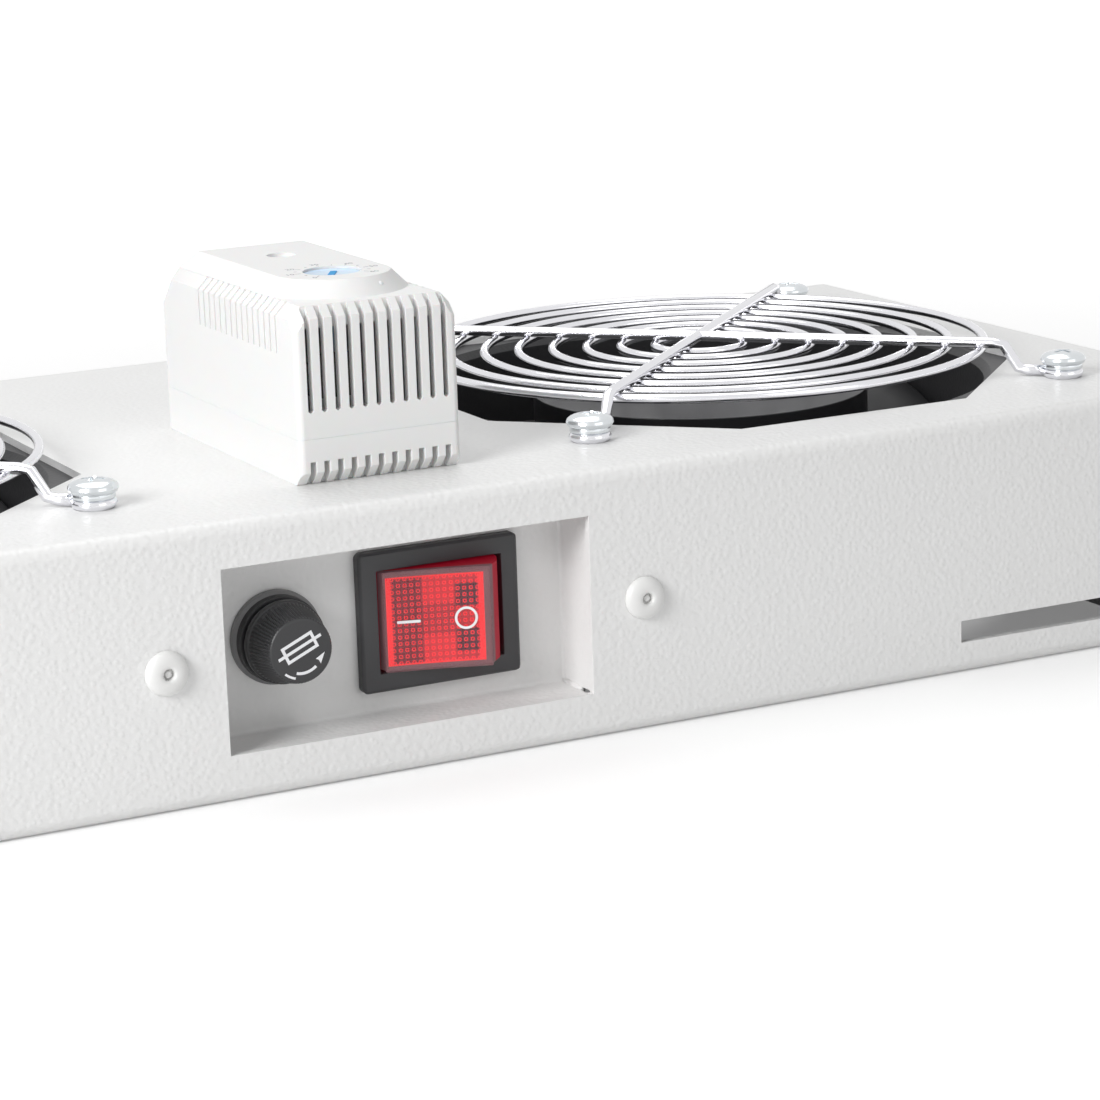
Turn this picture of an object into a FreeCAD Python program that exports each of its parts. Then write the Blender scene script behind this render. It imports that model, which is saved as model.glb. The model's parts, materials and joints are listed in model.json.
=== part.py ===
"""Two-fan ventilation tray with thermostat, rocker switch and fuse, as a parametric document.

The frame has its origin at the centre of the four base fixing holes, on the underside of
the tray. +X points right as seen from the control side, +Y points to the rear, +Z points up.
All lengths are in millimetres.
"""
import FreeCAD
import Part
import math
import os
import Sketcher

from FreeCAD import Vector

doc = FreeCAD.newDocument("fan_tray")
dim = doc.addObject("Spreadsheet::Sheet", "dim")

# Driving dimensions: alias and value, grouped by the sub-part that they belong to
SIZES = {
    "folded steel tray": {
        "tray_width": 355, "tray_depth": 153, "tray_height": 49, "sheet": 1.5, "bend": 2.5,
        "lip": 13, "base_hole": 5.5, "base_hole_inset": 7.5, "corner_slit": 0.8,
        "slot_start": 113, "slot_length": 46, "slot_height": 4.2, "slot_low": 6.1,
    },
    "control recess": {
        "recess_width": 69.6, "recess_height": 32.6, "recess_depth": 12.4, "control_z": 24.7,
        "pan_sheet": 1.2, "pan_gap": 0.4, "pan_bend": 2, "tab_reach": 18, "tab_height": 27,
        "seam_notch": 1.8, "rivet_x": 45.5, "rivet_head": 7.8, "rivet_dome": 1.7, "rivet_crown": 2.6,
        "rivet_rim": 0.43, "rivet_shank": 3.2, "rivet_eye": 2, "rivet_eye_deep": 1.1,
        "rivet_bulb": 4.8, "rivet_tail": 2.6,
    },
    "fans": {
        "fan_pitch": 201, "fan_size": 120, "fan_depth": 38, "fan_hole_inset": 7.5, "fan_hole": 4.4,
        "fan_plate": 5, "fan_rim": 2.6, "fan_wall": 2.4, "fan_corner": 4, "bell_mouth": 1.4,
        "cut_out_gap": 0.1, "motor_plate": 66, "motor_plate_thick": 2.5, "strut_wide": 7,
        "strut_thick": 3, "strut_root": 1.5, "tube_outer": 13, "tube_inner": 10, "tube_length": 17,
        "hub": 68, "hub_wall": 1.8, "hub_top_gap": 2.5, "hub_foot_gap": 0.8, "hub_boss": 14,
        "blade_count": 5, "blade_thick": 1.8, "blade_root_sink": 2.5, "blade_low": 3, "blade_high": 5,
        "blade_root_run": 20, "blade_tip_run": 36, "blade_camber": 48, "tip_gap": 1,
        "shaft": 5, "shaft_length": 24, "shaft_seat": 0.9, "bearing_thick": 4, "bearing_gap": 0.03,
        "bearing_spread": 10, "stator": 56, "stator_height": 13, "stator_lift": 0.4,
        "stator_poles": 4, "pole_slot": 7,
    },
    "finger guards": {
        "ring_first": 9, "ring_last_inset": 2.5, "ring_count": 8, "ring_wire": 1.7, "guard_lift": 4.7,
        "arm_wire": 2.2, "arm_foot": 7.75, "arm_slope": 5.5, "arm_seat": 0.1, "arm_weld": 0.55,
        "loop_outer": 9, "loop_thick": 1.8, "weld_sink": 0.2,
    },
    "fan fasteners": {
        "screw": 4, "screw_length": 16, "screw_head": 8.9, "head_rise": 2.6, "head_rim": 1.1,
        "head_crown": 5, "washer": 7.6, "washer_gap": 0.1, "washer_thick": 1, "nut_flats": 7,
        "nut_thick": 3.2,
    },
    "thermostat": {
        "thermo_x": 3.1, "thermo_set_back": 17, "thermo_width": 31, "thermo_length": 64.8,
        "base_height": 8.4, "shoulder": 31.5, "crown": 34.5, "thermo_wall": 1.8,
        "front_chamfer": 2, "side_chamfer": 2.2, "rear_chamfer": 5, "corner_round": 1.2,
        "foot_chamfer": 2.4, "crown_half": 10.5, "crown_slope": 3, "dial_set_back": 18.5,
        "dial": 10.4, "dial_thick": 2, "dial_sink": 0.4, "dial_gap": 0.1, "dial_slot": 1.6,
        "dial_slot_long": 7.5, "dial_slot_deep": 0.8, "dial_shaft": 4, "dial_shaft_length": 14,
        "vent_count": 11, "vent_pitch": 2.6, "vent_width": 1.1, "vent_low": 13, "vent_deep": 2.05,
        "vent_corner": 0.35, "crown_sink": 1, "foot_vent_high": 4.3, "foot_vent_deep": 3,
        "groove_count": 15, "groove_pitch": 2.62, "groove_width": 0.6, "groove_deep": 0.5,
        "groove_first": 8.1, "groove_low": 22.7, "cover_screw_behind": 9.6, "cover_screw": 3,
        "cover_screw_head": 5.2, "cover_screw_head_high": 1.8, "cover_screw_sink": 3,
        "cover_lip": 1.5, "cover_lip_gap": 0.1,
        "fixing_screw": 3, "fixing_spread": 44, "fixing_head": 5.5, "fixing_head_high": 2,
        "base_boss": 6.6, "boss_cap": 0.9,
        "bimetal_thick": 0.8, "bimetal_wide": 9, "bimetal_rise": 8, "bimetal_length": 20,
        "post": 5, "post_behind_screw": 9.6, "post_height": 10, "wire_hole": 9,
    },
    "rocker switch": {
        "switch_x": 10.1, "bezel_width": 31, "bezel_height": 25.5, "bezel_thick": 2.3,
        "bezel_corner": 1.2, "bezel_edge": 0.5, "well_width": 24.2, "well_height": 18.6,
        "well_depth": 10.8, "case_width": 28.2, "case_height": 21.6, "case_depth": 18,
        "case_gap": 0.2, "pivot_depth": 3.6, "pivot": 3.2, "pivot_length": 1, "pivot_gap": 0.05,
        "rocker_half": 9.6, "rocker_end_rise": 7.9, "rocker_mid_rise": 7.5, "rocker_swing": 11.8,
        "rocker_skirt": 3, "rocker_tilt": 17.5, "rocker_gap": 0.25, "rocker_wall": 1.4,
        "rocker_front_wall": 2.1, "lamp": 4, "lamp_length": 12, "lamp_leg": 0.8,
        "lamp_leg_spread": 8.4, "tab_wide": 6.3, "tab_thick": 0.8,
        "tab_long": 8, "tab_pitch_x": 14, "tab_pitch_z": 10,
        "latch_rise": 0.9, "latch_long": 6, "latch_gap": 0.15,
    },
    "fuse holder": {
        "fuse_x": -20.8, "fuse_flange": 16.8, "fuse_flange_thick": 1.6, "fuse_flange_rim": 1.28,
        "fuse_collar": 15.4, "fuse_collar_long": 1.8, "fuse_barrel": 12, "fuse_barrel_long": 26,
        "fuse_bore": 9.4, "fuse_hole_gap": 0.2, "fuse_cap_gap": 0.5, "fuse_cap": 14.8, "fuse_cap_front": 11.4,
        "fuse_cap_bevel": 2.2, "fuse_cap_set_back": 0.4, "fuse_stem": 9.2, "fuse_stem_long": 12,
        "fuse_stem_sink": 2, "knurl_count": 24, "knurl_deep": 0.45, "knurl_wide": 0.9,
        "knurl_end_band": 0.6, "fuse_nut_flats": 17,
        "fuse_nut_thick": 3.5, "fuse_link": 5.2, "fuse_link_long": 20, "fuse_glass": 4.6,
        "fuse_cap_metal": 5, "fuse_tab_wide": 4.8, "fuse_tab_long": 7, "fuse_seat": 1,
        "fuse_rest_gap": 0.3, "fuse_grip_gap": 0.05,
    },
    "mains inlet and wiring": {
        "gland_x": 0, "gland_z": 24.5, "gland_thread": 16, "gland_bore": 9, "gland_flats": 19,
        "gland_hole_gap": 0.2, "gland_flange": 4, "gland_tail": 9, "gland_neck": 7,
        "gland_nut_long": 12, "gland_flats_long": 7.2,
        "gland_nut_flats": 19, "gland_nut_gap": 0.5, "gland_mouth": 10, "gland_rim": 2.5,
        "gland_lock_flats": 22, "gland_lock_thick": 3.5, "seal_outer": 12.4, "seal_inner": 7,
        "seal_long": 7, "block_x": 8, "block_y": 34,
        "block_width": 30, "block_depth": 17, "block_height": 13, "block_poles": 3,
        "block_way": 4, "block_clamp": 3.4, "clamp_inset": 4.25, "clamp_deep": 4.3, "block_screw": 3,
        "block_head": 5.5, "block_head_high": 1.8, "block_nut_flats": 5.5, "block_nut_thick": 2.4,
        "block_screw_spare": 1.2, "earth_x": -24, "earth_y": 45,
        "earth_stud": 4, "earth_stud_long": 13, "earth_nut_flats": 7, "earth_nut_thick": 3.2,
        "earth_washer": 9, "earth_washer_thick": 0.8,
    },
    "tool paths": {
        "cut_over": 1,
    },
}

row = 1
for group, values in SIZES.items():
    dim.set("A%d" % row, group)
    row += 1
    for alias, value in values.items():
        dim.set("A%d" % row, alias)
        dim.set("B%d" % row, str(value))
        dim.setAlias("B%d" % row, alias)
        row += 1
doc.recompute()

# Levels and stations that several sub-parts share, as expressions over the sheet
FRONT = "(-dim.tray_depth / 2)"
REAR = "(dim.tray_depth / 2)"
FRONT_INSIDE = "(-dim.tray_depth / 2 + dim.sheet)"
REAR_INSIDE = "(dim.tray_depth / 2 - dim.sheet)"
TOP = "dim.tray_height"
UNDER_TOP = "(dim.tray_height - dim.sheet)"
PAN_FACE = "(-dim.tray_depth / 2 + dim.recess_depth)"
PAN_BACK = "(-dim.tray_depth / 2 + dim.recess_depth + dim.pan_sheet)"
FAN_BORE = "(dim.fan_size - 2 * dim.fan_rim)"
FAN_HOLE_PITCH = "(dim.fan_size - 2 * dim.fan_hole_inset)"
SIDES = {"left": -1, "right": 1}
PLANE_NORMALS = {"XY": 1, "XZ": -1, "YZ": 1}

sketch_planes = {}
nodes = []


def size(expression):
    """Give the value of an expression over the sheet."""
    return float(dim.evalExpression(expression))


def bind(thing, **expressions):
    """Bind properties of an object to expressions; __ in a name stands for a dot."""
    for name, expression in expressions.items():
        thing.setExpression(name.replace("__", "."), str(expression))


def place(thing, x="0", y="0", z="0"):
    """Bind an object's position."""
    bind(thing, Placement__Base__x=x, Placement__Base__y=y, Placement__Base__z=z)


def node(thing, label):
    """Name a finished sub-part; its label is the name of its file."""
    thing.Label = label
    nodes.append(thing)
    return thing


def new_body(name, x="0", y="0", z="0"):
    body = doc.addObject("PartDesign::Body", name)
    place(body, x, y, z)
    return body


def polygon(*points):
    """A closed outline through points, each a pair of expressions."""
    return ("polygon", points)


def circle(diameter, x="0", y="0"):
    return ("circle", (x, y, diameter))


def rectangle(x_low, x_high, y_low, y_high):
    return polygon((x_low, y_low), (x_high, y_low), (x_high, y_high), (x_low, y_high))


def centred(width, height, x="0", y="0"):
    """A rectangle about a centre."""
    return rectangle(f"{x} - ({width}) / 2", f"{x} + ({width}) / 2",
                     f"{y} - ({height}) / 2", f"{y} + ({height}) / 2")


def pin_point(sketch, geometry, end, x, y):
    """Fix a point of a sketch at a pair of expressions."""
    for kind, expression in (("DistanceX", x), ("DistanceY", y)):
        index = sketch.addConstraint(
            Sketcher.Constraint(kind, -1, 1, geometry, end, size(expression)))
        sketch.setExpression(f"Constraints[{index}]", str(expression))


def draw_polygon(sketch, points):
    first = sketch.GeometryCount
    corners = [Vector(size(x), size(y), 0) for x, y in points]
    count = len(points)
    for index, corner in enumerate(corners):
        sketch.addGeometry(Part.LineSegment(corner, corners[(index + 1) % count]), False)
    for index in range(count):
        following = first + (index + 1) % count
        sketch.addConstraint(Sketcher.Constraint("Coincident", first + index, 2, following, 1))
    for index, (x, y) in enumerate(points):
        pin_point(sketch, first + index, 1, x, y)


def draw_circle(sketch, x, y, diameter):
    centre = Vector(size(x), size(y), 0)
    index = sketch.addGeometry(Part.Circle(centre, Vector(0, 0, 1), size(diameter) / 2), False)
    pin_point(sketch, index, 3, x, y)
    bound = sketch.addConstraint(Sketcher.Constraint("Diameter", index, size(diameter)))
    sketch.setExpression(f"Constraints[{bound}]", str(diameter))


def draw_arc_plate(sketch, start, end, radius, thick):
    """A curved plate's section: two concentric arcs joined by straight ends.

    start and end are pairs of expressions on the outer arc, radius is the outer arc's.
    """
    head = Vector(size(start[0]), size(start[1]), 0)
    tail = Vector(size(end[0]), size(end[1]), 0)
    outer_radius = size(radius)
    wall = size(thick)
    chord = tail.sub(head)
    rise = math.sqrt(outer_radius ** 2 - (chord.Length / 2) ** 2)
    normal = Vector(-chord.y, chord.x, 0).normalize()
    centre = head + chord * 0.5 - normal * rise
    from_angle = math.atan2(tail.y - centre.y, tail.x - centre.x)
    to_angle = math.atan2(head.y - centre.y, head.x - centre.x)
    up = Vector(0, 0, 1)
    first = sketch.GeometryCount
    for arc_radius in (outer_radius, outer_radius - wall):
        arc = Part.ArcOfCircle(Part.Circle(centre, up, arc_radius), from_angle, to_angle)
        sketch.addGeometry(arc, False)
    inner_head = centre + (head - centre) * ((outer_radius - wall) / outer_radius)
    inner_tail = centre + (tail - centre) * ((outer_radius - wall) / outer_radius)
    sketch.addGeometry(Part.LineSegment(head, inner_head), False)
    sketch.addGeometry(Part.LineSegment(tail, inner_tail), False)
    outer, inner, head_end, tail_end = range(first, first + 4)
    for constraint in (("Coincident", outer, 2, head_end, 1), ("Coincident", inner, 2, head_end, 2),
                       ("Coincident", outer, 1, tail_end, 1), ("Coincident", inner, 1, tail_end, 2),
                       ("Coincident", outer, 3, inner, 3)):
        sketch.addConstraint(Sketcher.Constraint(*constraint))
    sketch.addConstraint(Sketcher.Constraint("PointOnObject", outer, 3, head_end))
    sketch.addConstraint(Sketcher.Constraint("PointOnObject", outer, 3, tail_end))
    pin_point(sketch, outer, 2, *start)
    pin_point(sketch, outer, 1, *end)
    for arc, expression in ((outer, radius), (inner, f"{radius} - {thick}")):
        bound = sketch.addConstraint(Sketcher.Constraint("Radius", arc, size(expression)))
        sketch.setExpression(f"Constraints[{bound}]", expression)


def sketch_on(body, plane, level, *outlines):
    """Draw outlines on a plane of the body at a level along that plane's positive axis."""
    sketch = body.newObject("Sketcher::SketchObject", body.Name + "_sketch")
    base = next(item for item in body.Origin.OriginFeatures if item.Role == plane + "_Plane")
    sketch.AttachmentSupport = [(base, "")]
    sketch.MapMode = "FlatFace"
    bind(sketch, AttachmentOffset__Base__z=f"{PLANE_NORMALS[plane]} * ({level})")
    for kind, values in outlines:
        if kind == "polygon":
            draw_polygon(sketch, values)
        elif kind == "arc_plate":
            draw_arc_plate(sketch, *values)
        else:
            draw_circle(sketch, *values)
    sketch_planes[sketch.Name] = plane
    return sketch


def pad(body, sketch, length, forward=True):
    """Raise a sketch along its plane's positive axis, or against it."""
    feature = body.newObject("PartDesign::Pad", body.Name + "_pad")
    feature.Profile = sketch
    bind(feature, Length=length)
    feature.Reversed = forward == (PLANE_NORMALS[sketch_planes[sketch.Name]] < 0)
    return feature


def pocket(body, sketch, length, forward=True):
    """Sink a sketch along its plane's positive axis, or against it."""
    feature = body.newObject("PartDesign::Pocket", body.Name + "_pocket")
    feature.Profile = sketch
    bind(feature, Length=length)
    feature.Reversed = forward == (PLANE_NORMALS[sketch_planes[sketch.Name]] > 0)
    return feature


def turned(body, sketch, axis="V_Axis", cut=False):
    """Turn a profile right round an axis of its sketch."""
    kind = "Groove" if cut else "Revolution"
    feature = body.newObject("PartDesign::" + kind, body.Name + "_turned")
    feature.Profile = sketch
    feature.ReferenceAxis = (sketch, [axis])
    feature.Angle = 360
    return feature


def edges_where(feature, test):
    """Names of the edges of a feature that pass a test."""
    doc.recompute()
    return [f"Edge{index}" for index, edge in enumerate(feature.Shape.Edges, 1) if test(edge)]


def fillet(body, feature, radius, test):
    rounding = body.newObject("PartDesign::Fillet", body.Name + "_fillet")
    rounding.Base = (feature, edges_where(feature, test))
    bind(rounding, Radius=radius)
    return rounding


def chamfer(body, feature, width, test, height=None):
    bevel = body.newObject("PartDesign::Chamfer", body.Name + "_chamfer")
    bevel.Base = (feature, edges_where(feature, test))
    bind(bevel, Size=width)
    if height:
        bevel.ChamferType = "Two distances"
        bind(bevel, Size2=height)
    return bevel


def around(body, feature, count, axis="Z"):
    """Repeat a feature about an axis of the body."""
    pattern = body.newObject("PartDesign::PolarPattern", body.Name + "_around")
    pattern.Originals = [feature]
    pattern.Axis = (next(i for i in body.Origin.OriginFeatures if i.Role == axis + "_Axis"), [""])
    pattern.Angle = 360
    bind(pattern, Occurrences=count)
    body.Tip = pattern
    return pattern


def along(body, feature, count, length, axis="X"):
    """Repeat a feature along an axis of the body."""
    pattern = body.newObject("PartDesign::LinearPattern", body.Name + "_along")
    pattern.Originals = [feature]
    base = next(i for i in body.Origin.OriginFeatures if i.Role == axis + "_Axis")
    pattern.Direction = (base, [""])
    bind(pattern, Length=length, Occurrences=count)
    body.Tip = pattern
    return pattern


def same(value, expression, slack=0.01):
    return abs(value - size(expression)) < slack


def level_edge(axis, level):
    """A test for edges that lie wholly at a level along an axis."""
    low, high = axis + "Min", axis + "Max"

    def test(edge):
        box = edge.BoundBox
        return same(getattr(box, low), level) and same(getattr(box, high), level)
    return test


def upright(edge):
    """A test for edges that run along Z."""
    box = edge.BoundBox
    return box.XLength < 0.01 and box.YLength < 0.01 and box.ZLength > 0.1


def copies(label, master, places):
    """Repeat a small piece at several places, as one group of separate solids."""
    links = []
    for index, (x, y, z) in enumerate(places):
        link = doc.addObject("App::Link", f"{label}_{index + 1}")
        link.LinkedObject = master
        place(link, x, y, z)
        links.append(link)
    group = doc.addObject("Part::Compound", label)
    group.Links = links
    return node(group, label)


def hexagon(flats, x="0", y="0"):
    """A hexagon with two flats square to the sketch's X axis."""
    point = f"({flats}) / sqrt(3)"
    corners = []
    for across, up in ((0.5, 0.5), (0, 1), (-0.5, 0.5), (-0.5, -0.5), (0, -1), (0.5, -0.5)):
        corners.append((f"{x} + {across} * ({flats})", f"{y} + {up} * {point}"))
    return polygon(*corners)


def octagon(flats, x):
    """A regular octagon about a point of the X axis, flats square to the axes."""
    half = f"({flats}) / 2"
    stub = f"({flats}) / 2 * tan(22.5)"
    pairs = ((half, stub), (stub, half), ("-" + stub, half), ("-" + half, stub),
             ("-" + half, "-" + stub), ("-" + stub, "-" + half), (stub, "-" + half),
             (half, "-" + stub))
    return polygon(*((f"{x} + {across}", up) for across, up in pairs))


def fan_centre(sign):
    return f"({sign} * dim.fan_pitch / 2)"


def fan_holes(centre="0"):
    """The four hole places of one fan, about its centre."""
    half = f"{FAN_HOLE_PITCH} / 2"
    return [(f"{centre} + {across} * {half}", f"{along_y} * {half}")
            for across in (-1, 1) for along_y in (-1, 1)]


def make_housing():
    """The folded tray: top panel, four walls and a return lip all round its underside."""
    body = new_body("housing")
    block = pad(body, sketch_on(body, "XY", "0", centred("dim.tray_width", "dim.tray_depth")),
                "dim.tray_height")
    fillet(body, block, "dim.bend", lambda edge: not upright(edge))
    inside = centred("dim.tray_width - 2 * dim.sheet", "dim.tray_depth - 2 * dim.sheet")
    pocket(body, sketch_on(body, "XY", "dim.sheet", inside), "dim.tray_height - 2 * dim.sheet")
    mouth = centred("dim.tray_width - 2 * dim.lip", "dim.tray_depth - 2 * dim.lip")
    pocket(body, sketch_on(body, "XY", "0", mouth), "dim.sheet")
    slits = [centred("dim.lip - dim.sheet", "dim.corner_slit",
                     f"{across} * (dim.tray_width - dim.lip - dim.sheet) / 2",
                     f"{deep} * (dim.tray_depth / 2 - dim.lip)")
             for across in (-1, 1) for deep in (-1, 1)]
    pocket(body, sketch_on(body, "XY", "0", *slits), "dim.sheet")
    octagons = [octagon("(dim.fan_size - 2 * dim.cut_out_gap)", fan_centre(sign))
                for sign in SIDES.values()]
    pocket(body, sketch_on(body, "XY", TOP, *octagons), "dim.sheet", forward=False)
    holes = [circle("dim.fan_hole", x, y) for sign in SIDES.values()
             for x, y in fan_holes(fan_centre(sign))]
    for sign in (-1, 1):
        holes.append(circle("dim.fixing_screw", "dim.thermo_x", thermo_fixing(sign)))
    holes.append(circle("dim.wire_hole", "dim.thermo_x", THERMO_MIDDLE))
    holes.append(circle("dim.block_screw", BLOCK_SCREW_X, "dim.block_y"))
    pocket(body, sketch_on(body, "XY", TOP, *holes), "dim.sheet", forward=False)
    front_cuts = [centred("dim.recess_width", "dim.recess_height", "0", "dim.control_z")]
    for sign in SIDES.values():
        front_cuts.append(circle("dim.rivet_shank", f"{sign} * dim.rivet_x", "dim.control_z"))
        middle = f"{sign} * (dim.slot_start + dim.slot_length / 2)"
        front_cuts.append(centred("dim.slot_length", "dim.slot_height", middle,
                                  "(dim.slot_low + dim.slot_height / 2)"))
    pocket(body, sketch_on(body, "XZ", FRONT, *front_cuts), "dim.sheet")
    gland_hole = circle("dim.gland_thread + 2 * dim.gland_hole_gap", "dim.gland_x", "dim.gland_z")
    pocket(body, sketch_on(body, "XZ", REAR, gland_hole), "dim.sheet", forward=False)
    base_holes = [circle("dim.base_hole", f"{across} * (dim.tray_width / 2 - dim.base_hole_inset)",
                         f"{deep} * (dim.tray_depth / 2 - dim.base_hole_inset)")
                  for across in (-1, 1) for deep in (-1, 1)]
    pocket(body, sketch_on(body, "XY", "0", *base_holes), "dim.sheet")
    node(body, "housing")


def make_control_pan():
    """The recess behind the front opening, folded from its own sheet with two riveted tabs."""
    body = new_body("control_pan")
    width = "(dim.recess_width + 2 * dim.pan_gap)"
    height = "(dim.recess_height + 2 * dim.pan_gap)"
    outer = centred(f"{width} + 2 * dim.pan_sheet", f"{height} + 2 * dim.pan_sheet",
                    "0", "dim.control_z")
    depth = "(dim.recess_depth + dim.pan_sheet - dim.sheet)"
    block = pad(body, sketch_on(body, "XZ", FRONT_INSIDE, outer), depth)
    fillet(body, block, "dim.pan_bend", level_edge("Y", PAN_BACK))
    tabs = centred(f"{width} + 2 * dim.tab_reach", "dim.tab_height", "0", "dim.control_z")
    pad(body, sketch_on(body, "XZ", FRONT_INSIDE, tabs), "dim.pan_sheet")
    inner = centred(width, height, "0", "dim.control_z")
    hollow = pocket(body, sketch_on(body, "XZ", FRONT_INSIDE, inner), "dim.recess_depth - dim.sheet")
    fillet(body, hollow, "dim.pan_bend - dim.pan_sheet", level_edge("Y", PAN_FACE))
    seams = [centred("dim.seam_notch", "dim.seam_notch", f"{across} * ({width} + dim.pan_sheet) / 2",
                     f"dim.control_z + {up} * ({height} + dim.pan_sheet) / 2")
             for across in (-1, 1) for up in (-1, 1)]
    pocket(body, sketch_on(body, "XZ", FRONT_INSIDE, *seams), depth)
    cuts = [centred("dim.case_width + 2 * dim.case_gap", "dim.case_height + 2 * dim.case_gap",
                    "dim.switch_x", "dim.control_z"),
            circle("dim.fuse_barrel + 2 * dim.fuse_hole_gap", "dim.fuse_x", "dim.control_z")]
    pocket(body, sketch_on(body, "XZ", PAN_FACE, *cuts), "dim.pan_sheet")
    rivet_holes = [circle("dim.rivet_shank", f"{sign} * dim.rivet_x", "dim.control_z")
                   for sign in SIDES.values()]
    pocket(body, sketch_on(body, "XZ", FRONT_INSIDE, *rivet_holes), "dim.pan_sheet")
    node(body, "control_pan")


def make_pan_rivets():
    """Two blind rivets: domed head with the broken mandrel's eye, shank and set tail."""
    body = new_body("rivet")
    grip = "(dim.sheet + dim.pan_sheet)"
    eye_floor = "(dim.rivet_eye_deep - dim.rivet_dome)"
    profile = polygon(
        ("0", eye_floor), ("dim.rivet_eye / 2", eye_floor), ("dim.rivet_crown", "-dim.rivet_dome"),
        ("dim.rivet_head / 2", "-dim.rivet_rim"), ("dim.rivet_head / 2", "0"),
        ("dim.rivet_shank / 2", "0"), ("dim.rivet_shank / 2", grip), ("dim.rivet_bulb / 2", grip),
        ("dim.rivet_shank / 2", f"{grip} + dim.rivet_tail"), ("0", f"{grip} + dim.rivet_tail"))
    turned(body, sketch_on(body, "XY", "0", profile))
    copies("pan_rivets", body, [(f"{sign} * dim.rivet_x", FRONT, "dim.control_z")
                                for sign in SIDES.values()])


FAN_TOP = UNDER_TOP
FAN_BOTTOM = f"({UNDER_TOP} - dim.fan_depth)"
MOTOR_TOP = f"({FAN_BOTTOM} + dim.motor_plate_thick)"
HUB_TOP = f"({FAN_TOP} - dim.hub_top_gap)"
HUB_FOOT = f"({MOTOR_TOP} + dim.hub_foot_gap)"
TUBE_TOP = f"({MOTOR_TOP} + dim.tube_length)"


def make_fan_frame(side, sign):
    """Square-flanged duct, cut back to a round waist between its flanges."""
    body = new_body(f"fan_{side}_frame", x=fan_centre(sign))
    square = centred("dim.fan_size", "dim.fan_size")
    block = pad(body, sketch_on(body, "XY", FAN_BOTTOM, square), "dim.fan_depth")
    fillet(body, block, "dim.fan_corner", upright)
    beyond = "dim.fan_size + dim.cut_over"
    around_duct = sketch_on(body, "XY", f"{FAN_BOTTOM} + dim.fan_plate",
                            centred(beyond, beyond), circle(f"{FAN_BORE} + 2 * dim.fan_wall"))
    pocket(body, around_duct, "dim.fan_depth - 2 * dim.fan_plate")
    bore = pocket(body, sketch_on(body, "XY", FAN_BOTTOM, circle(FAN_BORE)), "dim.fan_depth")

    def bore_rim(edge):
        return (edge.Curve.TypeId == "Part::GeomCircle" and same(edge.Curve.Radius, f"{FAN_BORE} / 2")
                and level_edge("Z", FAN_TOP)(edge))
    chamfer(body, bore, "dim.bell_mouth", bore_rim)
    holes = [circle("dim.fan_hole", x, y) for x, y in fan_holes()]
    pocket(body, sketch_on(body, "XY", FAN_BOTTOM, *holes), "dim.fan_depth")
    node(body, f"fan_{side}_frame")


def make_fan_spider(side, sign):
    """Motor plate with its bearing tube, on four struts that end on the duct's bore."""
    body = new_body(f"fan_{side}_spider", x=fan_centre(sign))
    pad(body, sketch_on(body, "XY", FAN_BOTTOM, circle("dim.motor_plate")), "dim.motor_plate_thick")
    strut = sketch_on(body, "XY", FAN_BOTTOM,
                      rectangle("dim.motor_plate / 2 - dim.strut_root", f"{FAN_BORE} / 2 + dim.cut_over",
                                "-dim.strut_wide / 2", "dim.strut_wide / 2"))
    around(body, pad(body, strut, "dim.strut_thick"), "4")
    beyond = sketch_on(body, "XY", FAN_BOTTOM, circle(FAN_BORE), circle(f"{FAN_BORE} + dim.strut_wide"))
    pocket(body, beyond, "dim.strut_thick")
    tube = sketch_on(body, "XY", FAN_BOTTOM, circle("dim.tube_outer"))
    pad(body, tube, "dim.motor_plate_thick + dim.tube_length")
    pocket(body, sketch_on(body, "XY", MOTOR_TOP, circle("dim.tube_inner")), "dim.tube_length")
    node(body, f"fan_{side}_spider")


def blade_section(run):
    """A cambered blade section, as long as run along its chord."""
    low = f"({HUB_FOOT} + dim.blade_low)"
    high = f"({HUB_TOP} - dim.blade_high)"
    return ("arc_plate", ((f"-{run} / 2", low), (f"{run} / 2", high), "dim.blade_camber",
                          "dim.blade_thick"))


def make_fan_rotor(side, sign):
    """Hub cup with its shaft boss and the ring of twisted, cambered blades."""
    body = new_body(f"fan_{side}_rotor", x=fan_centre(sign))
    root = sketch_on(body, "YZ", "dim.hub / 2 - dim.blade_root_sink", blade_section("dim.blade_root_run"))
    tip = sketch_on(body, "YZ", f"{FAN_BORE} / 2 + dim.cut_over", blade_section("dim.blade_tip_run"))
    blade = body.newObject("PartDesign::AdditiveLoft", body.Name + "_blade")
    blade.Profile = root
    blade.Sections = [tip]
    blade.Ruled = True
    doc.recompute()
    hub_height = f"({HUB_TOP} - {HUB_FOOT})"
    hub = pad(body, sketch_on(body, "XY", HUB_FOOT, circle("dim.hub")), hub_height)
    around(body, blade, "dim.blade_count")
    trim = sketch_on(body, "XY", FAN_BOTTOM, circle(f"{FAN_BORE} - 2 * dim.tip_gap"),
                     circle(f"{FAN_BORE} + dim.blade_tip_run"))
    pocket(body, trim, "dim.fan_depth")
    hub_inside = circle("dim.hub - 2 * dim.hub_wall")
    pocket(body, sketch_on(body, "XY", HUB_FOOT, hub_inside), f"{hub_height} - dim.hub_wall")
    boss_foot = f"({TUBE_TOP} + dim.hub_foot_gap)"
    pad(body, sketch_on(body, "XY", boss_foot, circle("dim.hub_boss")), f"{HUB_TOP} - {boss_foot}")
    bore = sketch_on(body, "XY", boss_foot, circle("dim.shaft"))
    pocket(body, bore, f"{HUB_TOP} - {boss_foot} - dim.shaft_seat")
    node(body, f"fan_{side}_rotor")


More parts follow.
